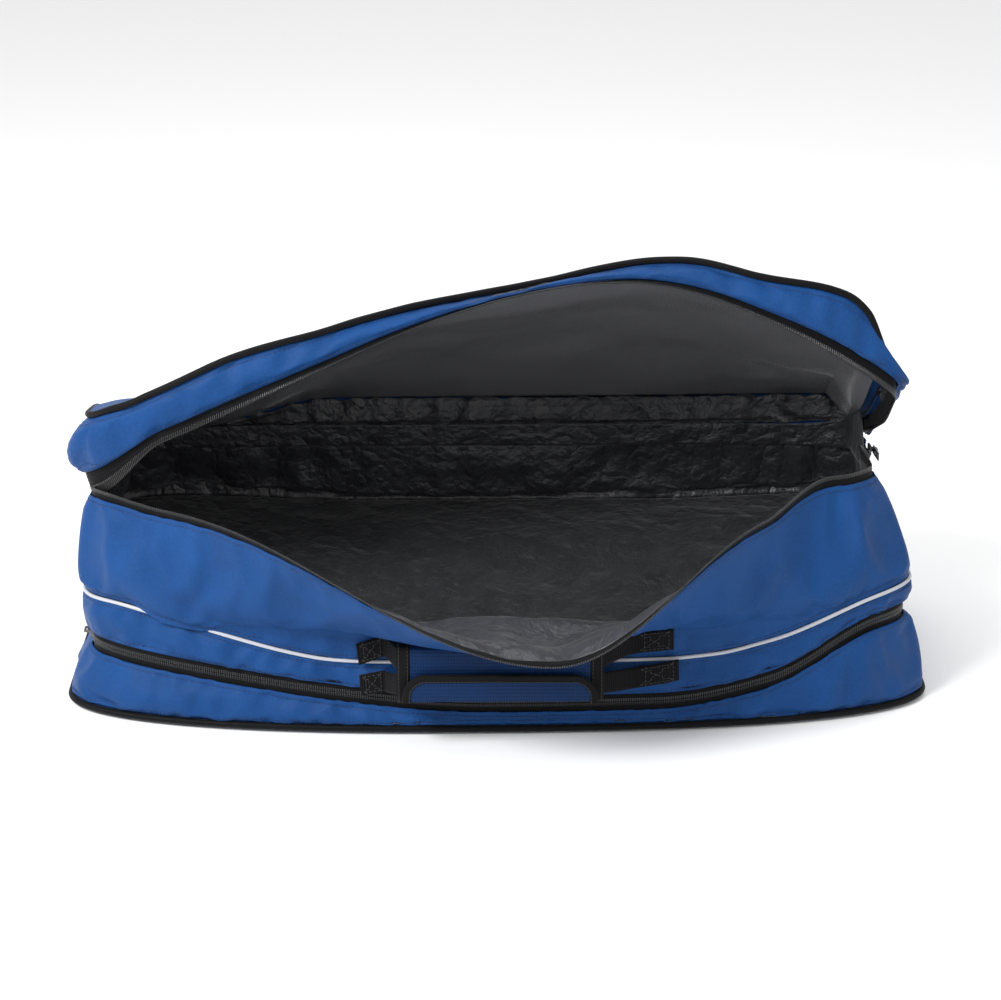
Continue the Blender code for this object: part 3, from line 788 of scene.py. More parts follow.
def coil(soup, near, far, labels):
    """The coil's loops, from the tape's edge towards the zip's line."""
    marks = column_marks(near, COIL_PITCH)
    a, b = pick(far, marks), pick(near, marks)
    along = unit(pick(near, np.minimum(marks + 0.5, len(near) - 1)) - pick(near, np.maximum(marks - 0.5, 0)))
    reach = b - a
    face = unit(np.cross(along, reach))
    axes = np.stack([reach, along, face], axis=1)
    soup.stamp(TOOTH, (a + b) / 2, axes, 0, labels[np.floor(marks).astype(int)])


# labels of the columns for pieces that bend: 0 stays, 1 bends on the left, 2 on the right
PIPING_X = at(PIPING)[:, 0]
FACE_X = (PIPING_X + np.roll(PIPING_X, -1)) / 2           # mean x of the faces between two columns
FRONT_LABEL = np.zeros(COLUMNS, int)
FRONT_LABEL[:FRONT_COLUMNS] = 1 + (FACE_X[:FRONT_COLUMNS] > FLAP_PEAK)
LID_LABEL = (FACE_X > LID_PEAK).astype(int)
NONE = np.zeros(COLUMNS, int)


def keep(points):
    return points


def zip_side(seam, side, shape, column_labels, tape_names, coil_names):
    """One half of a zip: its tape, and the coil on the tape's edge."""
    lifts = np.linspace(0.0026, 0.0108, 6) * side
    if side < 0:
        lifts = lifts[::-1]
    rows = []
    for lift in lifts:
        near_coil = math.exp(-((abs(lift) - 0.0030) / 0.0012) ** 2)
        rows.append(at(seam, 0.0054 - 0.0007 * near_coil, lift))
    grid = shape(np.stack(rows))[:, ZIP_COLUMNS]
    labels = column_labels[ZIP_COLUMNS]
    soup = Soup()
    v = np.repeat(np.abs(lifts)[:, None], len(ZIP_COLUMNS), axis=1)
    add_shell(soup, grid, 0.0008, run_along(grid[0])[None], v,
              labels=np.repeat(labels[None, :-1], len(lifts) - 1, axis=0))
    tapes = soup.objects(tape_names, [TAPE])
    soup = Soup()
    near = shape(at(seam, 0.0052, 0.0001 * side))[ZIP_COLUMNS]
    far = shape(at(seam, 0.0052, 0.0036 * side))[ZIP_COLUMNS]
    coil(soup, near, far, labels)
    if len(coil_names) == 1:
        tube(soup, shape(at(seam, 0.0056, 0.0031 * side))[ZIP_COLUMNS], 0.0007, 6, wrap=False)
    return tapes, soup.objects(coil_names, [COIL])


# ---- walls -------------------------------------------------------------------------------
def cloth_thickness(low, high):
    return 0.0012 + 0.0018 * smooth(np.minimum(low, high) / 0.015)


def lining_from(grid, seed):
    """A lining that follows the wall at a little distance, with its own folds."""
    low, high = edge_runs(grid)
    close = smooth(np.minimum(low, high) / 0.014)
    u = np.broadcast_to(ARC[None], low.shape)
    folds = 0.5 + 0.5 * ripple(u, low, (0.030, 0.024), seed)
    depth = 0.0031 + 0.0042 * close + 0.0045 * folds * close
    soft = blurred(grid, 6)
    soft[0], soft[-1] = grid[0], grid[-1]
    facing = blurred(grid_normals(grid, True), 6)
    return soft - facing * depth[..., None]


WALLS = {}              # the outer face of every wall built so far


def lid_lining(outer, facing):
    """A lining close behind the lid's wall, and inside the cloth where that folds over."""
    folded = (facing * OUT[None]).sum(axis=2) < 0.25
    return outer - facing * np.where(folded, 0.0006, 0.0042)[..., None]


def build_wall(name, grid, shape, labels, names, wheres, nodes, seed, stitch_edges):
    """A padded wall with its stitch rows and its lining; labels are per face, or per column of faces."""
    low, high = edge_runs(grid)
    labels = np.broadcast_to(labels, (len(grid) - 1, COLUMNS))
    outer = shape(grid)
    facing = grid_normals(outer, True)
    inner = outer - facing * cloth_thickness(low, high)[..., None]
    uv, shell_labels = shell_uv(ARC[None], low), labels[shell_rows(len(grid))]
    soup = Soup()
    soup.grid(shell(outer, inner), uv, True, True, 0, shell_labels)
    for edge in stitch_edges:
        run, chosen = (low, labels[0]) if edge.startswith("low") else (high, labels[-1])
        columns = np.arange(COLUMNS) if edge.endswith("piping") else ZIP_COLUMNS
        stitches(soup, outer, facing, run, columns, chosen)
    cloths = soup.objects([f"{name}_cloth{n}" for n in names], [BLUE_CLOTH, THREAD])

    inside = lid_lining(outer, facing) if shape is lift_lid else shape(lining_from(grid, seed))
    back = inside - grid_normals(inside, True) * 0.0006
    soup = Soup()
    soup.grid(shell(inside, back), uv, True, True, 0, shell_labels)
    linings = soup.objects([f"{name}_lining{n}" for n in names], [GREY_SATIN])
    for cloth, lining, where in zip(cloths, linings, wheres):
        if "front" in lining.name:
            lining.data.materials[0] = PALE_SATIN
        place(cloth, where, nodes[0], "cloth_blue")
        place(lining, where, nodes[1], "lining_grey")
    WALLS[name] = outer


def lower_wall():
    """The wall between the base piping and the lower zip."""
    low, high = at(BASE, 0, 0.0005), at(LOWER_ZIP, 0, -zip_gap())
    grid = puff(between(low, high, row_shares(0.048)), 0.0040, 0.0015, 0.0038 * AT_ZIP)
    grid = crumple(grid, (0, -1), 0.06, 20, 0.008)
    build_wall("lower_wall", grid, keep, NONE, [""], ["lower_body"],
               [["lower_wall"], ["lower_lining"]], 11, ["high", "low_piping"])


def middle_wall():
    """The band between the lower zip and the white piping."""
    low, high = at(LOWER_ZIP, 0, zip_gap()), at(PIPING, 0, -0.0018)
    grid = puff(between(low, high, row_shares(0.031)), 0.0030, 0.0038 * AT_ZIP, 0.0015)
    grid = crumple(grid, (0, -1), 0.06, 20, 0.008)
    build_wall("middle_wall", grid, keep, NONE, [""], ["upper_body"],
               [["middle_wall"], ["middle_lining"]], 12, ["low", "high_piping"])


def upper_wall():
    """The tall wall; its front stretch above the fold bends with the dropped front wall."""
    low, high = at(PIPING, 0, 0.0018), at(UPPER_ZIP, 0, -zip_gap())
    height = high[:, 2] - low[:, 2]
    fold = np.maximum(FOLD_HEIGHT, low[:, 2] + 0.004)
    cut = (fold - low[:, 2]) / height
    below = np.concatenate([np.linspace(0, 0.3, 7)[:-1], np.linspace(0.3, 1, 6)[:-1]])
    upper_edge = row_shares(0.100)
    above = np.concatenate([np.linspace(0, 0.12, 8)[:-1], upper_edge[upper_edge > 0.12]])
    shares = np.concatenate([below[:, None] * cut[None], cut[None] + above[:, None] * (1 - cut[None])])
    fold_row = len(below)
    grid = puff(between(low, high, shares), 0.0060, 0.0015, 0.0038 * AT_ZIP)
    grid = crumple(grid, (0, fold_row, -1), 0.05, 20, 0.010)
    run, _ = edge_runs(grid)
    x, y = grid[..., 0], grid[..., 1]
    over = smooth((x + 0.325) / 0.030) * smooth((-0.225 - x) / 0.060) * smooth(-y / 0.05)
    over = over * (1 - smooth(run / 0.026))
    grid = grid + OUT[None] * (0.0050 * over)[..., None]
    grid[..., 2] -= 0.0060 * over
    labels = np.zeros((len(grid) - 1, COLUMNS), int)
    labels[fold_row:] = FRONT_LABEL
    build_wall("upper_wall", grid, drop_front, labels, ["", "_front_left", "_front_right"],
               ["upper_body", "front_left", "front_right"],
               [["upper_wall", "front_wall"], ["upper_lining", "front_wall_lining"]], 13,
               ["high", "low_piping"])


def lid_wall():
    """The lid's side strip between its zip and its top seam."""
    low, high = at(UPPER_ZIP, 0, zip_gap()), at(LID, 0, -0.0055)
    grid = puff(between(low, high, row_shares(0.030)), 0.0030, 0.0038 * AT_ZIP, 0.0015)
    grid = crumple(grid, (0, -1), 0.035, 18, 0.004)
    build_wall("lid_wall", grid, lift_lid, LID_LABEL, ["_left", "_right"], ["lid_left", "lid_right"],
               [["lid_wall"], ["lid_wall_lining"]], 14, ["low", "high_piping"])


# ---- panels ------------------------------------------------------------------------------
PANEL_COLUMNS, PANEL_ROWS = 170, 72
FOIL_INSET = 0.0035


def panel_grid(seam, inset, lift, rear_turn=(30, 150)):
    """A grid over a seam's whole inside, from its front half outline to its rear one."""
    front_angles, _ = even_angles(seam, 180, 360, PANEL_COLUMNS)
    rear_angles, _ = even_angles(seam, *rear_turn, PANEL_COLUMNS)
    front, rear = np.stack(plan(seam, front_angles)), np.stack(plan(seam, rear_angles[::-1]))
    share = np.linspace(0, 1, PANEL_ROWS)[:, None]
    x = front[0] * (1 - share) + rear[0] * share
    y = front[1] * (1 - share) + rear[1] * share
    shrink_x, shrink_y = 1 - inset / seam.half, 1 - inset / seam.rear
    x, y = x * shrink_x, y * shrink_y
    return np.dstack([x, y, seam_height(seam, x, y) + lift])


def edge_fade(grid, reach):
    """0 at a panel's rim to 1 beyond reach inside it."""
    rim = np.concatenate([grid[0], grid[-1], grid[:, 0], grid[:, -1]])[:, :2]
    flat = grid[..., :2].reshape(-1, 2)
    best = np.full(len(flat), 1e9)
    for point in rim[::3]:
        best = np.minimum(best, np.hypot(flat[:, 0] - point[0], flat[:, 1] - point[1]))
    return smooth(best.reshape(grid.shape[:2]) / reach)


def panel_piece(name, grid, shape, split, thickness, look, wheres, nodes, slot, depth=None):
    """A cloth over a panel's grid; one that bends is split in two at x = split."""
    outer = shape(grid)
    if depth is not None:
        outer = outer - grid_normals(outer, False) * depth[..., None]
    labels = None
    names = [name]
    if split is not None:
        centre = (grid[:-1, :-1, 0] + grid[:-1, 1:, 0]) / 2
        labels = (centre > split).astype(int)
        labels = np.concatenate([labels, labels[:, -1:]], axis=1)
        names = [f"{name}_left", f"{name}_right"]
    soup = Soup()
    add_shell(soup, outer, thickness, grid[0:1, :, 0], grid[..., 1], labels=labels)
    for obj, where in zip(soup.objects(names, [look]), wheres):
        place(obj, where, nodes, slot)


def rear_gusset():
    """A strip of lining that stands inside the closed stretch, behind the lid's hinge line and corners."""
    columns = np.flatnonzero((T > 360 + 17) & (T < 360 + 163))
    t = T[columns] - 360
    right = smooth((t - 17) / 6) * (1 - smooth((t - 36) / 26))
    left = smooth((163 - t) / 8) * (1 - smooth((148 - t) / 20))
    height = 0.010 * smooth((t - 17) / 6) * smooth((163 - t) / 8) + 0.026 * right + 0.006 * left
    shares = np.linspace(0, 1, 12)
    u = ARC[columns]
    rows = []
    for share in shares:
        wave = ripple(u, np.full(len(u), share * 0.03), (0.028, 0.02), 51)
        rows.append(at(UPPER_ZIP, 0.0125 + 0.0010 * share, 0.0)[columns]
                    - OUT[columns] * (0.0012 * wave[:, None])
                    + np.column_stack([0 * u, 0 * u, -0.012 + share * (0.012 + height)]))
    grid = np.stack(rows)
    soup = Soup()
    add_shell(soup, grid, 0.0008, u[None] - u[0], shares[:, None] * 0.03 + 0 * u[None])
    gusset = soup.objects(["rear_gusset"], [GREY_SATIN])[0]
    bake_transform(gusset)
    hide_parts("upper_lining")


def piping_backing():
    """A strip of lining behind the white piping."""
    lifts = np.linspace(-0.010, 0.0010, 8)
    grid = np.stack([at(PIPING, 0.0058, lift) for lift in lifts])
    soup = Soup()
    add_shell(soup, grid, 0.0006, ARC[None], lifts[:, None] + 0 * ARC[None], wrap=True)
    place(soup.objects(["piping_backing"], [GREY_SATIN])[0], "upper_body", ["middle_lining"], "lining_grey")


def base_panel():
    """The flat panel that the bag lies on, hollowed a little from above."""
    grid = panel_grid(BASE, 0.0025, 0.0)
    inside = edge_fade(grid, 0.05)
    x, y = grid[..., 0], grid[..., 1]
    grid[..., 2] = 0.0070 - 0.0025 * inside + 0.0006 * ripple(x + 1, y + 1, (0.05, 0.05), 3, 2.0) * inside
    flat = grid.copy()
    flat[..., 2] = 0.0012 * (1 - edge_fade(grid, 0.010))
    uv = np.dstack([np.concatenate([x, x[::-1]]), np.concatenate([y, y[::-1]])])
    soup = Soup()
    soup.grid(np.concatenate([grid, flat[::-1]]), uv, True, False)
    for column in (0, -1):
        ends = np.stack([grid[:, column], flat[:, column]], axis=1)
        soup.grid(ends, ends[..., 1:3], flip=column == 0)
    cloth = soup.objects(["base_panel_cloth"], [BLUE_CLOTH])[0]
    place(cloth, "lower_body", ["base_panel"], "cloth_blue")


def divider():
    """The floor of the upper compartment."""
    grid = panel_grid(PIPING, 0.0044, 0.0042)
    x, y = grid[..., 0] + 1, grid[..., 1] + 1
    waves = ripple(x, y, (0.09, 0.05), 5, 2.0) + 0.5 * ripple(x + 0.6 * y, y, (0.035, 0.03), 6, 2.0)
    grid[..., 2] += 0.0030 * waves * edge_fade(grid, 0.03)
    panel_piece("divider_satin", grid, keep, None, 0.003, FLOOR_SATIN, ["upper_body"],
                ["divider_panel"], "lining_grey")


def lid_crown(inset, rear_turn):
    """The lid's top face with its dome and waves, and how far each point is from the rim."""
    grid = panel_grid(LID, inset, -0.0008, rear_turn)
    inside = edge_fade(grid, 0.10)
    x, y = grid[..., 0] + 1, grid[..., 1] + 1
    waves = ripple(x, y, (0.16, 0.10), 7, 2.0) + 0.4 * ripple(x + 0.7 * y, y, (0.06, 0.05), 8, 2.0)
    dome = -0.004 + 0.014 * smooth((grid[..., 0] + 0.30) / 0.28)
    grid[..., 2] += (dome + 0.0022 * waves) * inside
    return grid, inside


def lid_panels():
    """The lid's blue top and the dark foil under it."""
    halves = ["lid_left", "lid_right"]
    grid, _ = lid_crown(0.0012, (12, 168))
    panel_piece("lid_panel_cloth", grid, lift_lid, LID_PEAK, 0.0030, BLUE_CLOTH, halves,
                ["lid_panel"], "cloth_blue")
    grid, inside = lid_crown(0.0025, (30, 150))
    x, y = grid[..., 0] + 1, grid[..., 1] + 1
    waves = ripple(x, y, (0.10, 0.07), 9, 2.0) + 0.5 * ripple(x - 0.5 * y, y, (0.04, 0.04), 10, 2.0)
    grid[..., 0] *= 1 - FOIL_INSET / LID.half
    grid[..., 1] *= 1 - FOIL_INSET / LID.rear
    panel_piece("lid_foil", grid, lift_lid, LID_PEAK, 0.0008, FOIL, halves,
                ["lid_foil_lining"], "lining_foil", 0.0052 + 0.0030 * (1 + waves) * inside)


# ---- piping and zips ---------------------------------------------------------------------
def pipings():
    """The three round pipings, each along its seam."""
    waver = 0.0006 * ripple(ARC, np.zeros(COLUMNS), (0.03, 1), 21)
    for name, path, radius, look, slot, labels, ends, wheres in (
            ("base", at(BASE, 0.0002, -0.0032), 0.003, BLACK_CORD, "piping_black", None, [""],
             ["lower_body"]),
            ("white", at(PIPING, 0.0010, waver), 0.0017, WHITE_CORD, "piping_white", None, [""],
             ["upper_body"]),
            ("lid", lift_lid(at(LID, 0.0, waver - 0.0028)), 0.003, BLACK_CORD, "piping_black", LID_LABEL,
             ["_left", "_right"], ["lid_left", "lid_right"])):
        soup = Soup()
        tube(soup, path, radius, 12, labels=labels)
        cords = soup.objects([f"{name}_cord{end}" for end in ends], [look])
        for cord, where in zip(cords, wheres):
            place(cord, where, [f"{name}_piping"], slot)


def zips():
    """Both halves of both zips; a half rides with the wall that it is sewn to."""
    sides = (
        (LOWER_ZIP, -1, keep, NONE, "lower_zip_bottom", [""], ["lower_body"],
         ["lower_zip_tape_bottom"], ["lower_zip_coil_bottom"]),
        (LOWER_ZIP, 1, keep, NONE, "lower_zip_top", [""], ["upper_body"],
         ["lower_zip_tape_top"], ["lower_zip_coil_top"]),
        (UPPER_ZIP, -1, drop_front, FRONT_LABEL, "mouth_zip", ["_ends", "_front_left", "_front_right"],
         ["upper_body", "front_left", "front_right"],
         ["upper_zip_tape_left", "upper_zip_tape_right", "front_zip_tape"],
         ["upper_zip_coil_left", "upper_zip_coil_right", "front_zip_coil"]),
        (UPPER_ZIP, 1, lift_lid, LID_LABEL, "lid_zip", ["_left", "_right"], ["lid_left", "lid_right"],
         ["lid_zip_tape"], ["lid_zip_coil"]))
    for seam, side, shape, labels, name, ends, wheres, tape_nodes, coil_nodes in sides:
        tapes, coils = zip_side(seam, side, shape, labels, [f"{name}_tape{e}" for e in ends],
                                [f"{name}_teeth{e}" for e in ends])
        for tape, teeth, where in zip(tapes, coils, wheres):
            place(tape, where, tape_nodes, "tape")
            place(teeth, where, coil_nodes, "coil")


# ---- carrying handle ---------------------------------------------------------------------
WEB_Y, WEB_HALF = -0.1925, 0.0100
UPPER_LEG, LOWER_LEG = 0.0825, 0.0575                     # heights of the two webbings at the grip
GRIP_HALF, GRIP_LOW, GRIP_HIGH = 0.0785, 0.0440, 0.0960
GRIP_MIDDLE = (GRIP_LOW + GRIP_HIGH) / 2


def wall_spot(wall, x, z):
    """The point at some x and height that just clears a wall's outer face over a webbing's width."""
    outer = WALLS[wall][:12] if wall == "upper_wall" else WALLS[wall]         # below the fold only
    column = np.interp(x, PIPING_X[:FRONT_COLUMNS], np.arange(FRONT_COLUMNS))
    nearest = []
    for c in range(int(column) - 2, int(column) + 4):
        line = outer[:, c][np.argsort(outer[:, c, 2])]
        heights = np.linspace(z - WEB_HALF, z + WEB_HALF, 9)
        nearest.append(np.interp(heights, line[:, 2], line[:, 1]).min())
    return np.array([x, min(nearest), z])


def flat_stitches(soup, line, facing, lift):
    """Stitches along a line on a nearly flat face."""
    marks = column_marks(line, FINE_STITCH)
    ahead = unit(pick(line, np.minimum(marks + 0.3, len(line) - 1)) - pick(line, np.maximum(marks - 0.3, 0)))
    face = np.broadcast_to(facing, ahead.shape)
    axes = np.stack([ahead, np.cross(face, ahead), face], axis=1)
    soup.stamp(STITCH, pick(line, marks) + face * lift, axes, 1)


def webbing(name, wall, side, patch_z, leg_z, ends, tilt):
    """A webbing end sewn on the wall, and the leg that bends from it into the grip."""
    tip, root = ends
    flat = [wall_spot(wall, side * x, patch_z + tilt * (x - root)) for x in np.linspace(tip, root, 9)]
    proud = min(p[1] for p in flat)
    route = [np.array([p[0], 0.4 * p[1] + 0.6 * proud - 0.0016, p[2]]) for p in flat]
    grip_end = np.array([side * (GRIP_HALF + 0.011), WEB_Y + 0.0015, leg_z])
    inside = np.array([side * (GRIP_HALF - 0.012), WEB_Y, leg_z])
    start, slope = route[-1], route[-1] - route[-2]
    bend = start + np.array([-side * 0.30 * abs(grip_end[0] - start[0]), -0.0035, 0.0])
    for t in np.linspace(0, 1, 15)[1:]:
        a, b = start * (1 - t) + bend * t, bend * (1 - t) + grip_end * t
        route.append(a * (1 - t) + b * t)
    route += [grip_end * (1 - t) + inside * t for t in (0.3, 0.65, 1.0)]
    path = np.array(route)
    along = np.gradient(path, axis=0)
    length = run_along(path)
    lean = np.clip((length - 0.030) / 0.03, -1, 0) * tilt * 0.35
    shares = np.linspace(-1, 1, 9)
    grid = np.empty((9, len(path), 3))
    for r, share in enumerate(shares):
        shift = [share * WEB_HALF * lean * side, 0.0005 * np.abs(share) ** 3 + 0 * lean,
                 share * WEB_HALF + 0 * lean]
        grid[r] = path + np.column_stack(shift)
    if side > 0:
        grid = grid[:, ::-1]
        length = length[-1] - length[::-1]
    soup = Soup()
    add_shell(soup, grid, 0.0014, length[None], (shares * WEB_HALF)[:, None] + 0 * length[None])
    facing = grid_normals(grid, False)
    where = length if side < 0 else length[-1] - length
    sewn = np.flatnonzero((where > 0.0015) & (where < abs(root - tip)))
    patch, up = grid[:, sewn], facing[:, sewn]
    lines = [patch[1], patch[-2], patch[:, 1], patch[:, -1]]
    cross = np.linspace(0, 1, 9)
    pick_at = lambda r, c: patch[int(round(r * 8)), int(round(c * (patch.shape[1] - 1)))]
    lines += [np.array([pick_at(0.12 + 0.76 * t, t) for t in cross]),
              np.array([pick_at(0.88 - 0.76 * t, t) for t in cross])]
    for line in lines:
        flat_stitches(soup, line, up.reshape(-1, 3).mean(axis=0), 0.0001)
    return soup.objects([name], [WEBBING, BLACK_THREAD])[0]


def ring(width, height, corner, count=72):
    """A rounded rectangle in (y, z) about the origin, evenly cut."""
    turn = np.linspace(0, 2 * math.pi, 1441)
    power = 2 / corner
    y = boxy(np.cos(turn), power) * width / 2
    z = boxy(np.sin(turn), power) * height / 2
    run = np.concatenate([[0], np.cumsum(np.hypot(np.diff(y), np.diff(z)))])
    marks = np.linspace(0, run[-1], count, endpoint=False)
    return np.interp(marks, run, y), np.interp(marks, run, z), marks


def sleeve(name, x0, x1, width, height, look, swell, seed, edge_roll, columns):
    """A soft sleeve round the webbings: outside, rolled ends and the hole through it."""
    y, z, marks = ring(width, height, 4.5)
    hole_y, hole_z, _ = ring(0.0064, height - 0.0066, 6.0)
    xs = np.linspace(x0, x1, columns)
    rows = []
    for k, x in enumerate(xs):
        end = min(x - x0, x1 - x)
        roll = 1 - smooth(end / edge_roll) if edge_roll else 0.0
        soft = smooth(end / 0.012)
        wobble = ripple(np.full(len(y), x + 1.0), marks, (0.022, 0.016), seed, 2.0) * swell * soft
        scale = 1 + (swell * soft * 1.2 + wobble) / (width / 2) * 0.5
        rows.append(np.column_stack([np.full(len(y), x), y * (1 - 0.12 * roll) * scale + WEB_Y,
                                     z * (1 - 0.03 * roll) + wobble * 0.6 + GRIP_MIDDLE]))
    back = [np.column_stack([np.full(len(y), x), hole_y + WEB_Y, hole_z + GRIP_MIDDLE]) for x in xs[::-1]]
    points = np.stack(rows + back)
    u = np.concatenate([xs, xs[::-1]])
    uv = np.dstack([np.broadcast_to(u[:, None], points.shape[:2]), np.broadcast_to(marks, points.shape[:2])])
    soup = Soup()
    soup.grid(points, uv, True, True)
    if look is BINDING:
        for x in (x0 + 0.0022, x1 - 0.0022):
            line = np.column_stack([np.full(len(y), x), y + WEB_Y, z + GRIP_MIDDLE])
            line = np.concatenate([line, line[:1]])
            spots = column_marks(line, 0.0036)
            ahead = unit(pick(line, spots + 0.2) - pick(line, np.maximum(spots - 0.2, 0)))
            face = np.cross(ahead, (1.0, 0, 0))
            face = face * np.sign(((pick(line, spots) - (0, WEB_Y, GRIP_MIDDLE)) * face).sum(axis=1))[:, None]
            axes = np.stack([ahead, np.cross(face, ahead), face], axis=1)
            soup.stamp(STITCH, pick(line, spots) + face * 0.0001, axes, 1)
    return soup.objects([name], [look, BLACK_THREAD])[0]


def flap_outline(half, low, high, corner, count=140):
    """Left foot, up, over the rounded top and down again, evenly cut, in (x, z)."""
    turn = np.linspace(0, math.pi / 2, 24)
    left = np.column_stack([-half + corner - corner * np.cos(turn), high - corner + corner * np.sin(turn)])
    right = np.column_stack([half - corner + corner * np.sin(turn), high - corner + corner * np.cos(turn)])
    line = np.concatenate([[[-half, low]], left, right, [[half, low]]])
    run = run_along(line)
    marks = np.linspace(0, run[-1], count)
    return np.column_stack([np.interp(marks, run, line[:, 0]), np.interp(marks, run, line[:, 1])]), marks


def grip_flap():
    """The grip's closing flap: ribbed mesh with a bound, rounded edge."""
    half, low, high, corner = 0.0795, GRIP_LOW + 0.0040, 0.0690, 0.015
    far = WEB_Y - 0.0113
    xs = np.linspace(-half + 0.001, half - 0.001, 150)
    into = np.clip(corner - (half - np.abs(xs)), 0, corner)
    top = high - corner + np.sqrt(np.maximum(corner ** 2 - into ** 2, 0))
    top = top - 0.0012 * smooth((xs + 0.02) / 0.10)
    shares = np.linspace(0, 1, 26)[:, None]
    z = low * (1 - shares) + top[None] * shares
    x = np.broadcast_to(xs, z.shape)
    waves = ripple(x + 1, z, (0.035, 0.02), 31, 2.0)
    y = far - 0.0026 - 0.0010 * np.sin(math.pi * shares) - 0.0006 * waves
    grid = np.dstack([x, y, z])
    soup = Soup()
    add_shell(soup, grid, 0.0018, xs[None], z - low)
    place(soup.objects(["flap_cloth"], [GRIP])[0], "grip_flap_body", ["grip_flap"], "grip_mesh")

    line, marks = flap_outline(half + 0.0012, low - 0.0004, high + 0.0010, corner + 0.002)
    line[:, 1] -= 0.0012 * smooth((line[:, 0] + 0.02) / 0.10)
    ahead = unit(np.gradient(line, axis=0))
    aside = np.column_stack([-ahead[:, 1], ahead[:, 0]])
    sides = 28
    turn = np.arange(sides) * 2 * math.pi / sides
    across, deep = boxy(np.cos(turn), 0.6) * 0.0036, boxy(np.sin(turn), 0.6) * 0.0019
    waver = 0.0004 * ripple(marks + 1, 0 * marks, (0.012, 1), 32, 2.0)
    points = np.empty((sides, len(line), 3))
    for k in range(sides):
        points[k, :, 0] = line[:, 0] + aside[:, 0] * (across[k] + waver)
        points[k, :, 2] = line[:, 1] + aside[:, 1] * (across[k] + waver)
        points[k, :, 1] = far - 0.0022 - deep[k] - 0.4 * waver
    uv = np.dstack([np.broadcast_to(marks, (sides, len(line))),
                    np.broadcast_to((np.arange(sides) * 0.0007)[:, None], (sides, len(line)))])
    soup = Soup()
    soup.grid(points[::-1], uv, True, False)
    add_cap(soup, points[:, 0], False)
    add_cap(soup, points[:, -1], True)
    inner = np.column_stack([line[:, 0] - aside[:, 0] * 0.0022, np.full(len(line), far - 0.00415),
                             line[:, 1] - aside[:, 1] * 0.0022])
    flat_stitches(soup, inner, (0, -1.0, 0), 0.0)
    place(soup.objects(["flap_binding"], [BINDING, BLACK_THREAD])[0], "grip_flap_body", ["grip_flap_binding"],
          "binding_black")


def handle():
    """Two webbings sewn at both ends, the soft grip round them and its closing flap."""
    for name, wall, side, patch_z, leg_z, ends, tilt in (
            ("webbing_upper_left", "upper_wall", -1, 0.0845, UPPER_LEG, (0.124, 0.101), -0.35),
            ("webbing_upper_right", "upper_wall", 1, 0.0850, UPPER_LEG, (0.152, 0.118), 0.10),
            ("webbing_lower_left", "middle_wall", -1, 0.0520, LOWER_LEG, (0.122, 0.101), -0.20),
            ("webbing_lower_right", "middle_wall", 1, 0.0535, LOWER_LEG, (0.157, 0.118), 0.16)):
        strap = webbing(name, wall, side, patch_z, leg_z, ends, tilt)
        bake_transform(strap)
        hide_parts(name.replace("webbing", "handle_end"))
    for row, leg_z in (("upper", UPPER_LEG), ("lower", LOWER_LEG)):
        xs = np.linspace(-GRIP_HALF + 0.012, GRIP_HALF - 0.012, 40)
        shares = np.linspace(-1, 1, 5)
        grid = np.stack([np.column_stack([xs, np.full(40, WEB_Y), np.full(40, leg_z + share * WEB_HALF)])
                         for share in shares])
        soup = Soup()
        add_shell(soup, grid, 0.0014, xs[None], (shares * WEB_HALF)[:, None] + 0 * xs[None])
        place(soup.objects([f"webbing_{row}_middle"], [WEBBING])[0], "handle_body", [f"handle_webbing_{row}"],
              "webbing_black")
    pad = sleeve("grip_cloth", -GRIP_HALF, GRIP_HALF, 0.0155, 0.0515, GRIP, 0.0005, 41, 0.0, 150)
    place(pad, "handle_body", ["grip_pad"], "grip_mesh")
    for side, x0, x1 in (("left", -0.0895, -GRIP_HALF + 0.0008), ("right", GRIP_HALF - 0.0008, 0.0895)):
        place(sleeve(f"grip_band_{side}", x0, x1, 0.0176, 0.0538, BINDING, 0.0002, 42, 0.0016, 16),
              "handle_body", [f"grip_binding_{side}"], "binding_black")
    grip_flap()


def metal_parts():
    """Looks of the CAD parts that stay visible: sliders, pulls and the hook-and-loop strips."""
    for name, look, edge in (("lower_slider", METAL, 0.0005), ("lower_pull", METAL, 0.0004),
                             ("upper_slider", METAL, 0.0005), ("upper_pull", METAL, 0.0004),
                             ("hook_strip", HOOK, 0.0003), ("loop_strip", LOOP, 0.0003)):
        node = frame["nodes"][name]
        node.data.materials.clear()
        node.data.materials.append(look)
        softened = node.modifiers.new("edges", "BEVEL")
        softened.width, softened.segments, softened.limit_method = edge, 2, "ANGLE"


# ---- stage, light and camera -------------------------------------------------------------
CAMERA_TARGET = (0.0, -0.040, 0.150)
CAMERA_DISTANCE = 2.3
CAMERA_AZIMUTH, CAMERA_ELEVATION = math.radians(-1), math.radians(22)
LENS, SHIFT_X, SHIFT_Y = 91.0, 0.0035, 0.020


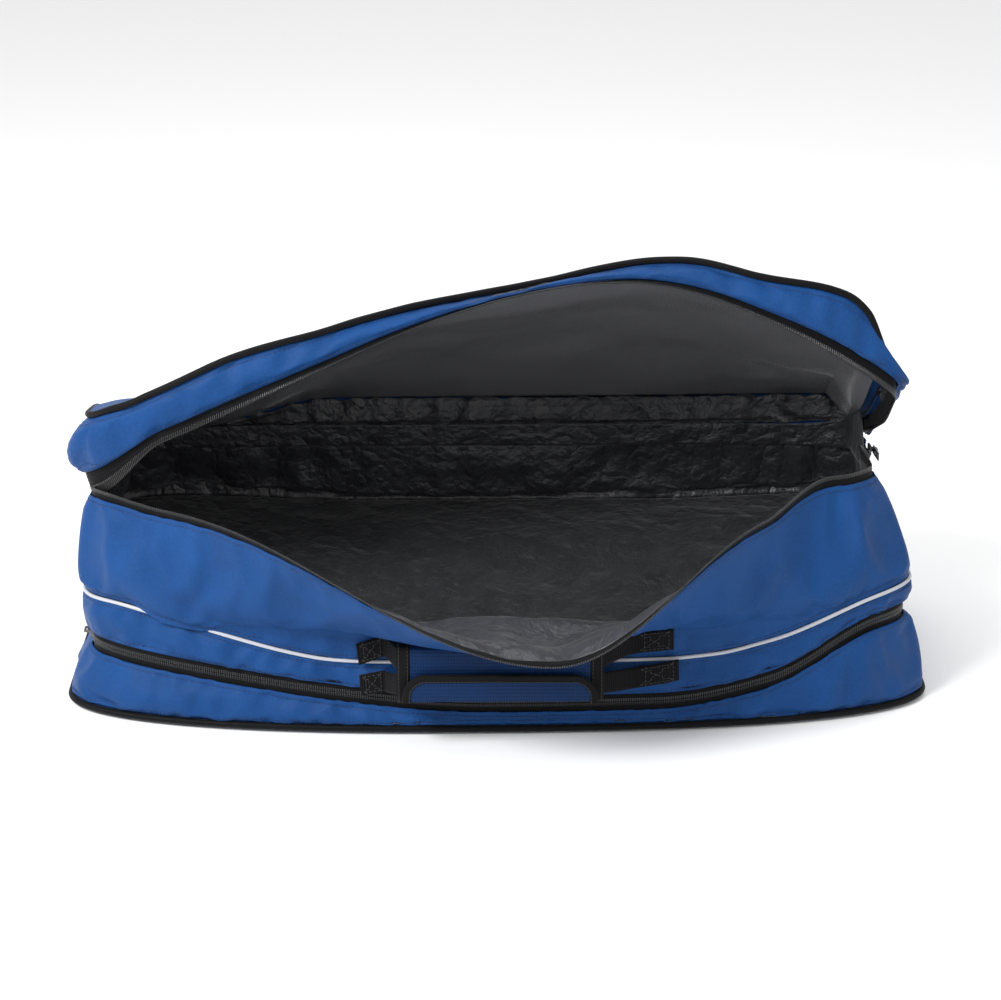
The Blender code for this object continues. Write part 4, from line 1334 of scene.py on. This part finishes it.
def area_light(name, place_at, size, power):
    """A rectangular lamp that faces the bag."""
    data = bpy.data.lights.new(name, "AREA")
    data.shape = "RECTANGLE"
    data.size, data.size_y = size
    data.energy = power
    lamp = bpy.data.objects.new(name, data)
    lamp.location = place_at
    lamp.rotation_euler = (Vector((0, 0, 0.1)) - Vector(place_at)).to_track_quat("-Z", "Y").to_euler()
    bpy.context.scene.collection.objects.link(lamp)


def floor():
    mesh = bpy.data.meshes.new("floor")
    size = 8.0
    corners = [(-size, -size, 0), (size, -size, 0), (size, size, 0), (-size, size, 0)]
    mesh.from_pydata(corners, [], [(0, 1, 2, 3)])
    ground = bpy.data.objects.new("floor", mesh)
    ground.location = (0, 0, -0.0005)
    look = bpy.data.materials.new("floor")
    look.use_nodes = True
    shader = look.node_tree.nodes["Principled BSDF"]
    shader.inputs["Base Color"].default_value = (0.9, 0.9, 0.9, 1)
    shader.inputs["Roughness"].default_value = 0.9
    mesh.materials.append(look)
    bpy.context.scene.collection.objects.link(ground)


def lights():
    world = bpy.data.worlds.new("studio")
    world.use_nodes = True
    world.node_tree.nodes["Background"].inputs["Color"].default_value = (1, 1, 1, 1)
    world.node_tree.nodes["Background"].inputs["Strength"].default_value = 0.85
    bpy.context.scene.world = world
    area_light("key", (-1.3, -1.2, 1.7), (0.9, 0.8), 58)
    area_light("fill", (1.8, -1.4, 1.0), (1.2, 1.2), 4)
    area_light("top", (0.2, 0.6, 2.2), (1.6, 1.0), 14)


def camera():
    a, e = CAMERA_AZIMUTH, CAMERA_ELEVATION
    back = (math.sin(a) * math.cos(e), -math.cos(a) * math.cos(e), math.sin(e))
    data = bpy.data.cameras.new("camera")
    viewer = bpy.data.objects.new("camera", data)
    viewer.location = [t + b * CAMERA_DISTANCE for t, b in zip(CAMERA_TARGET, back)]
    viewer.rotation_euler = (math.pi / 2 - e, 0, a)
    data.sensor_width, data.lens = 36, LENS
    data.shift_x, data.shift_y = SHIFT_X, SHIFT_Y
    bpy.context.scene.collection.objects.link(viewer)
    bpy.context.scene.camera = viewer
    bpy.context.scene.view_settings.view_transform = "Standard"


lower_wall()
middle_wall()
upper_wall()
lid_wall()
base_panel()
divider()
lid_panels()
rear_gusset()
piping_backing()
pipings()
zips()
handle()
metal_parts()
floor()
lights()
camera()
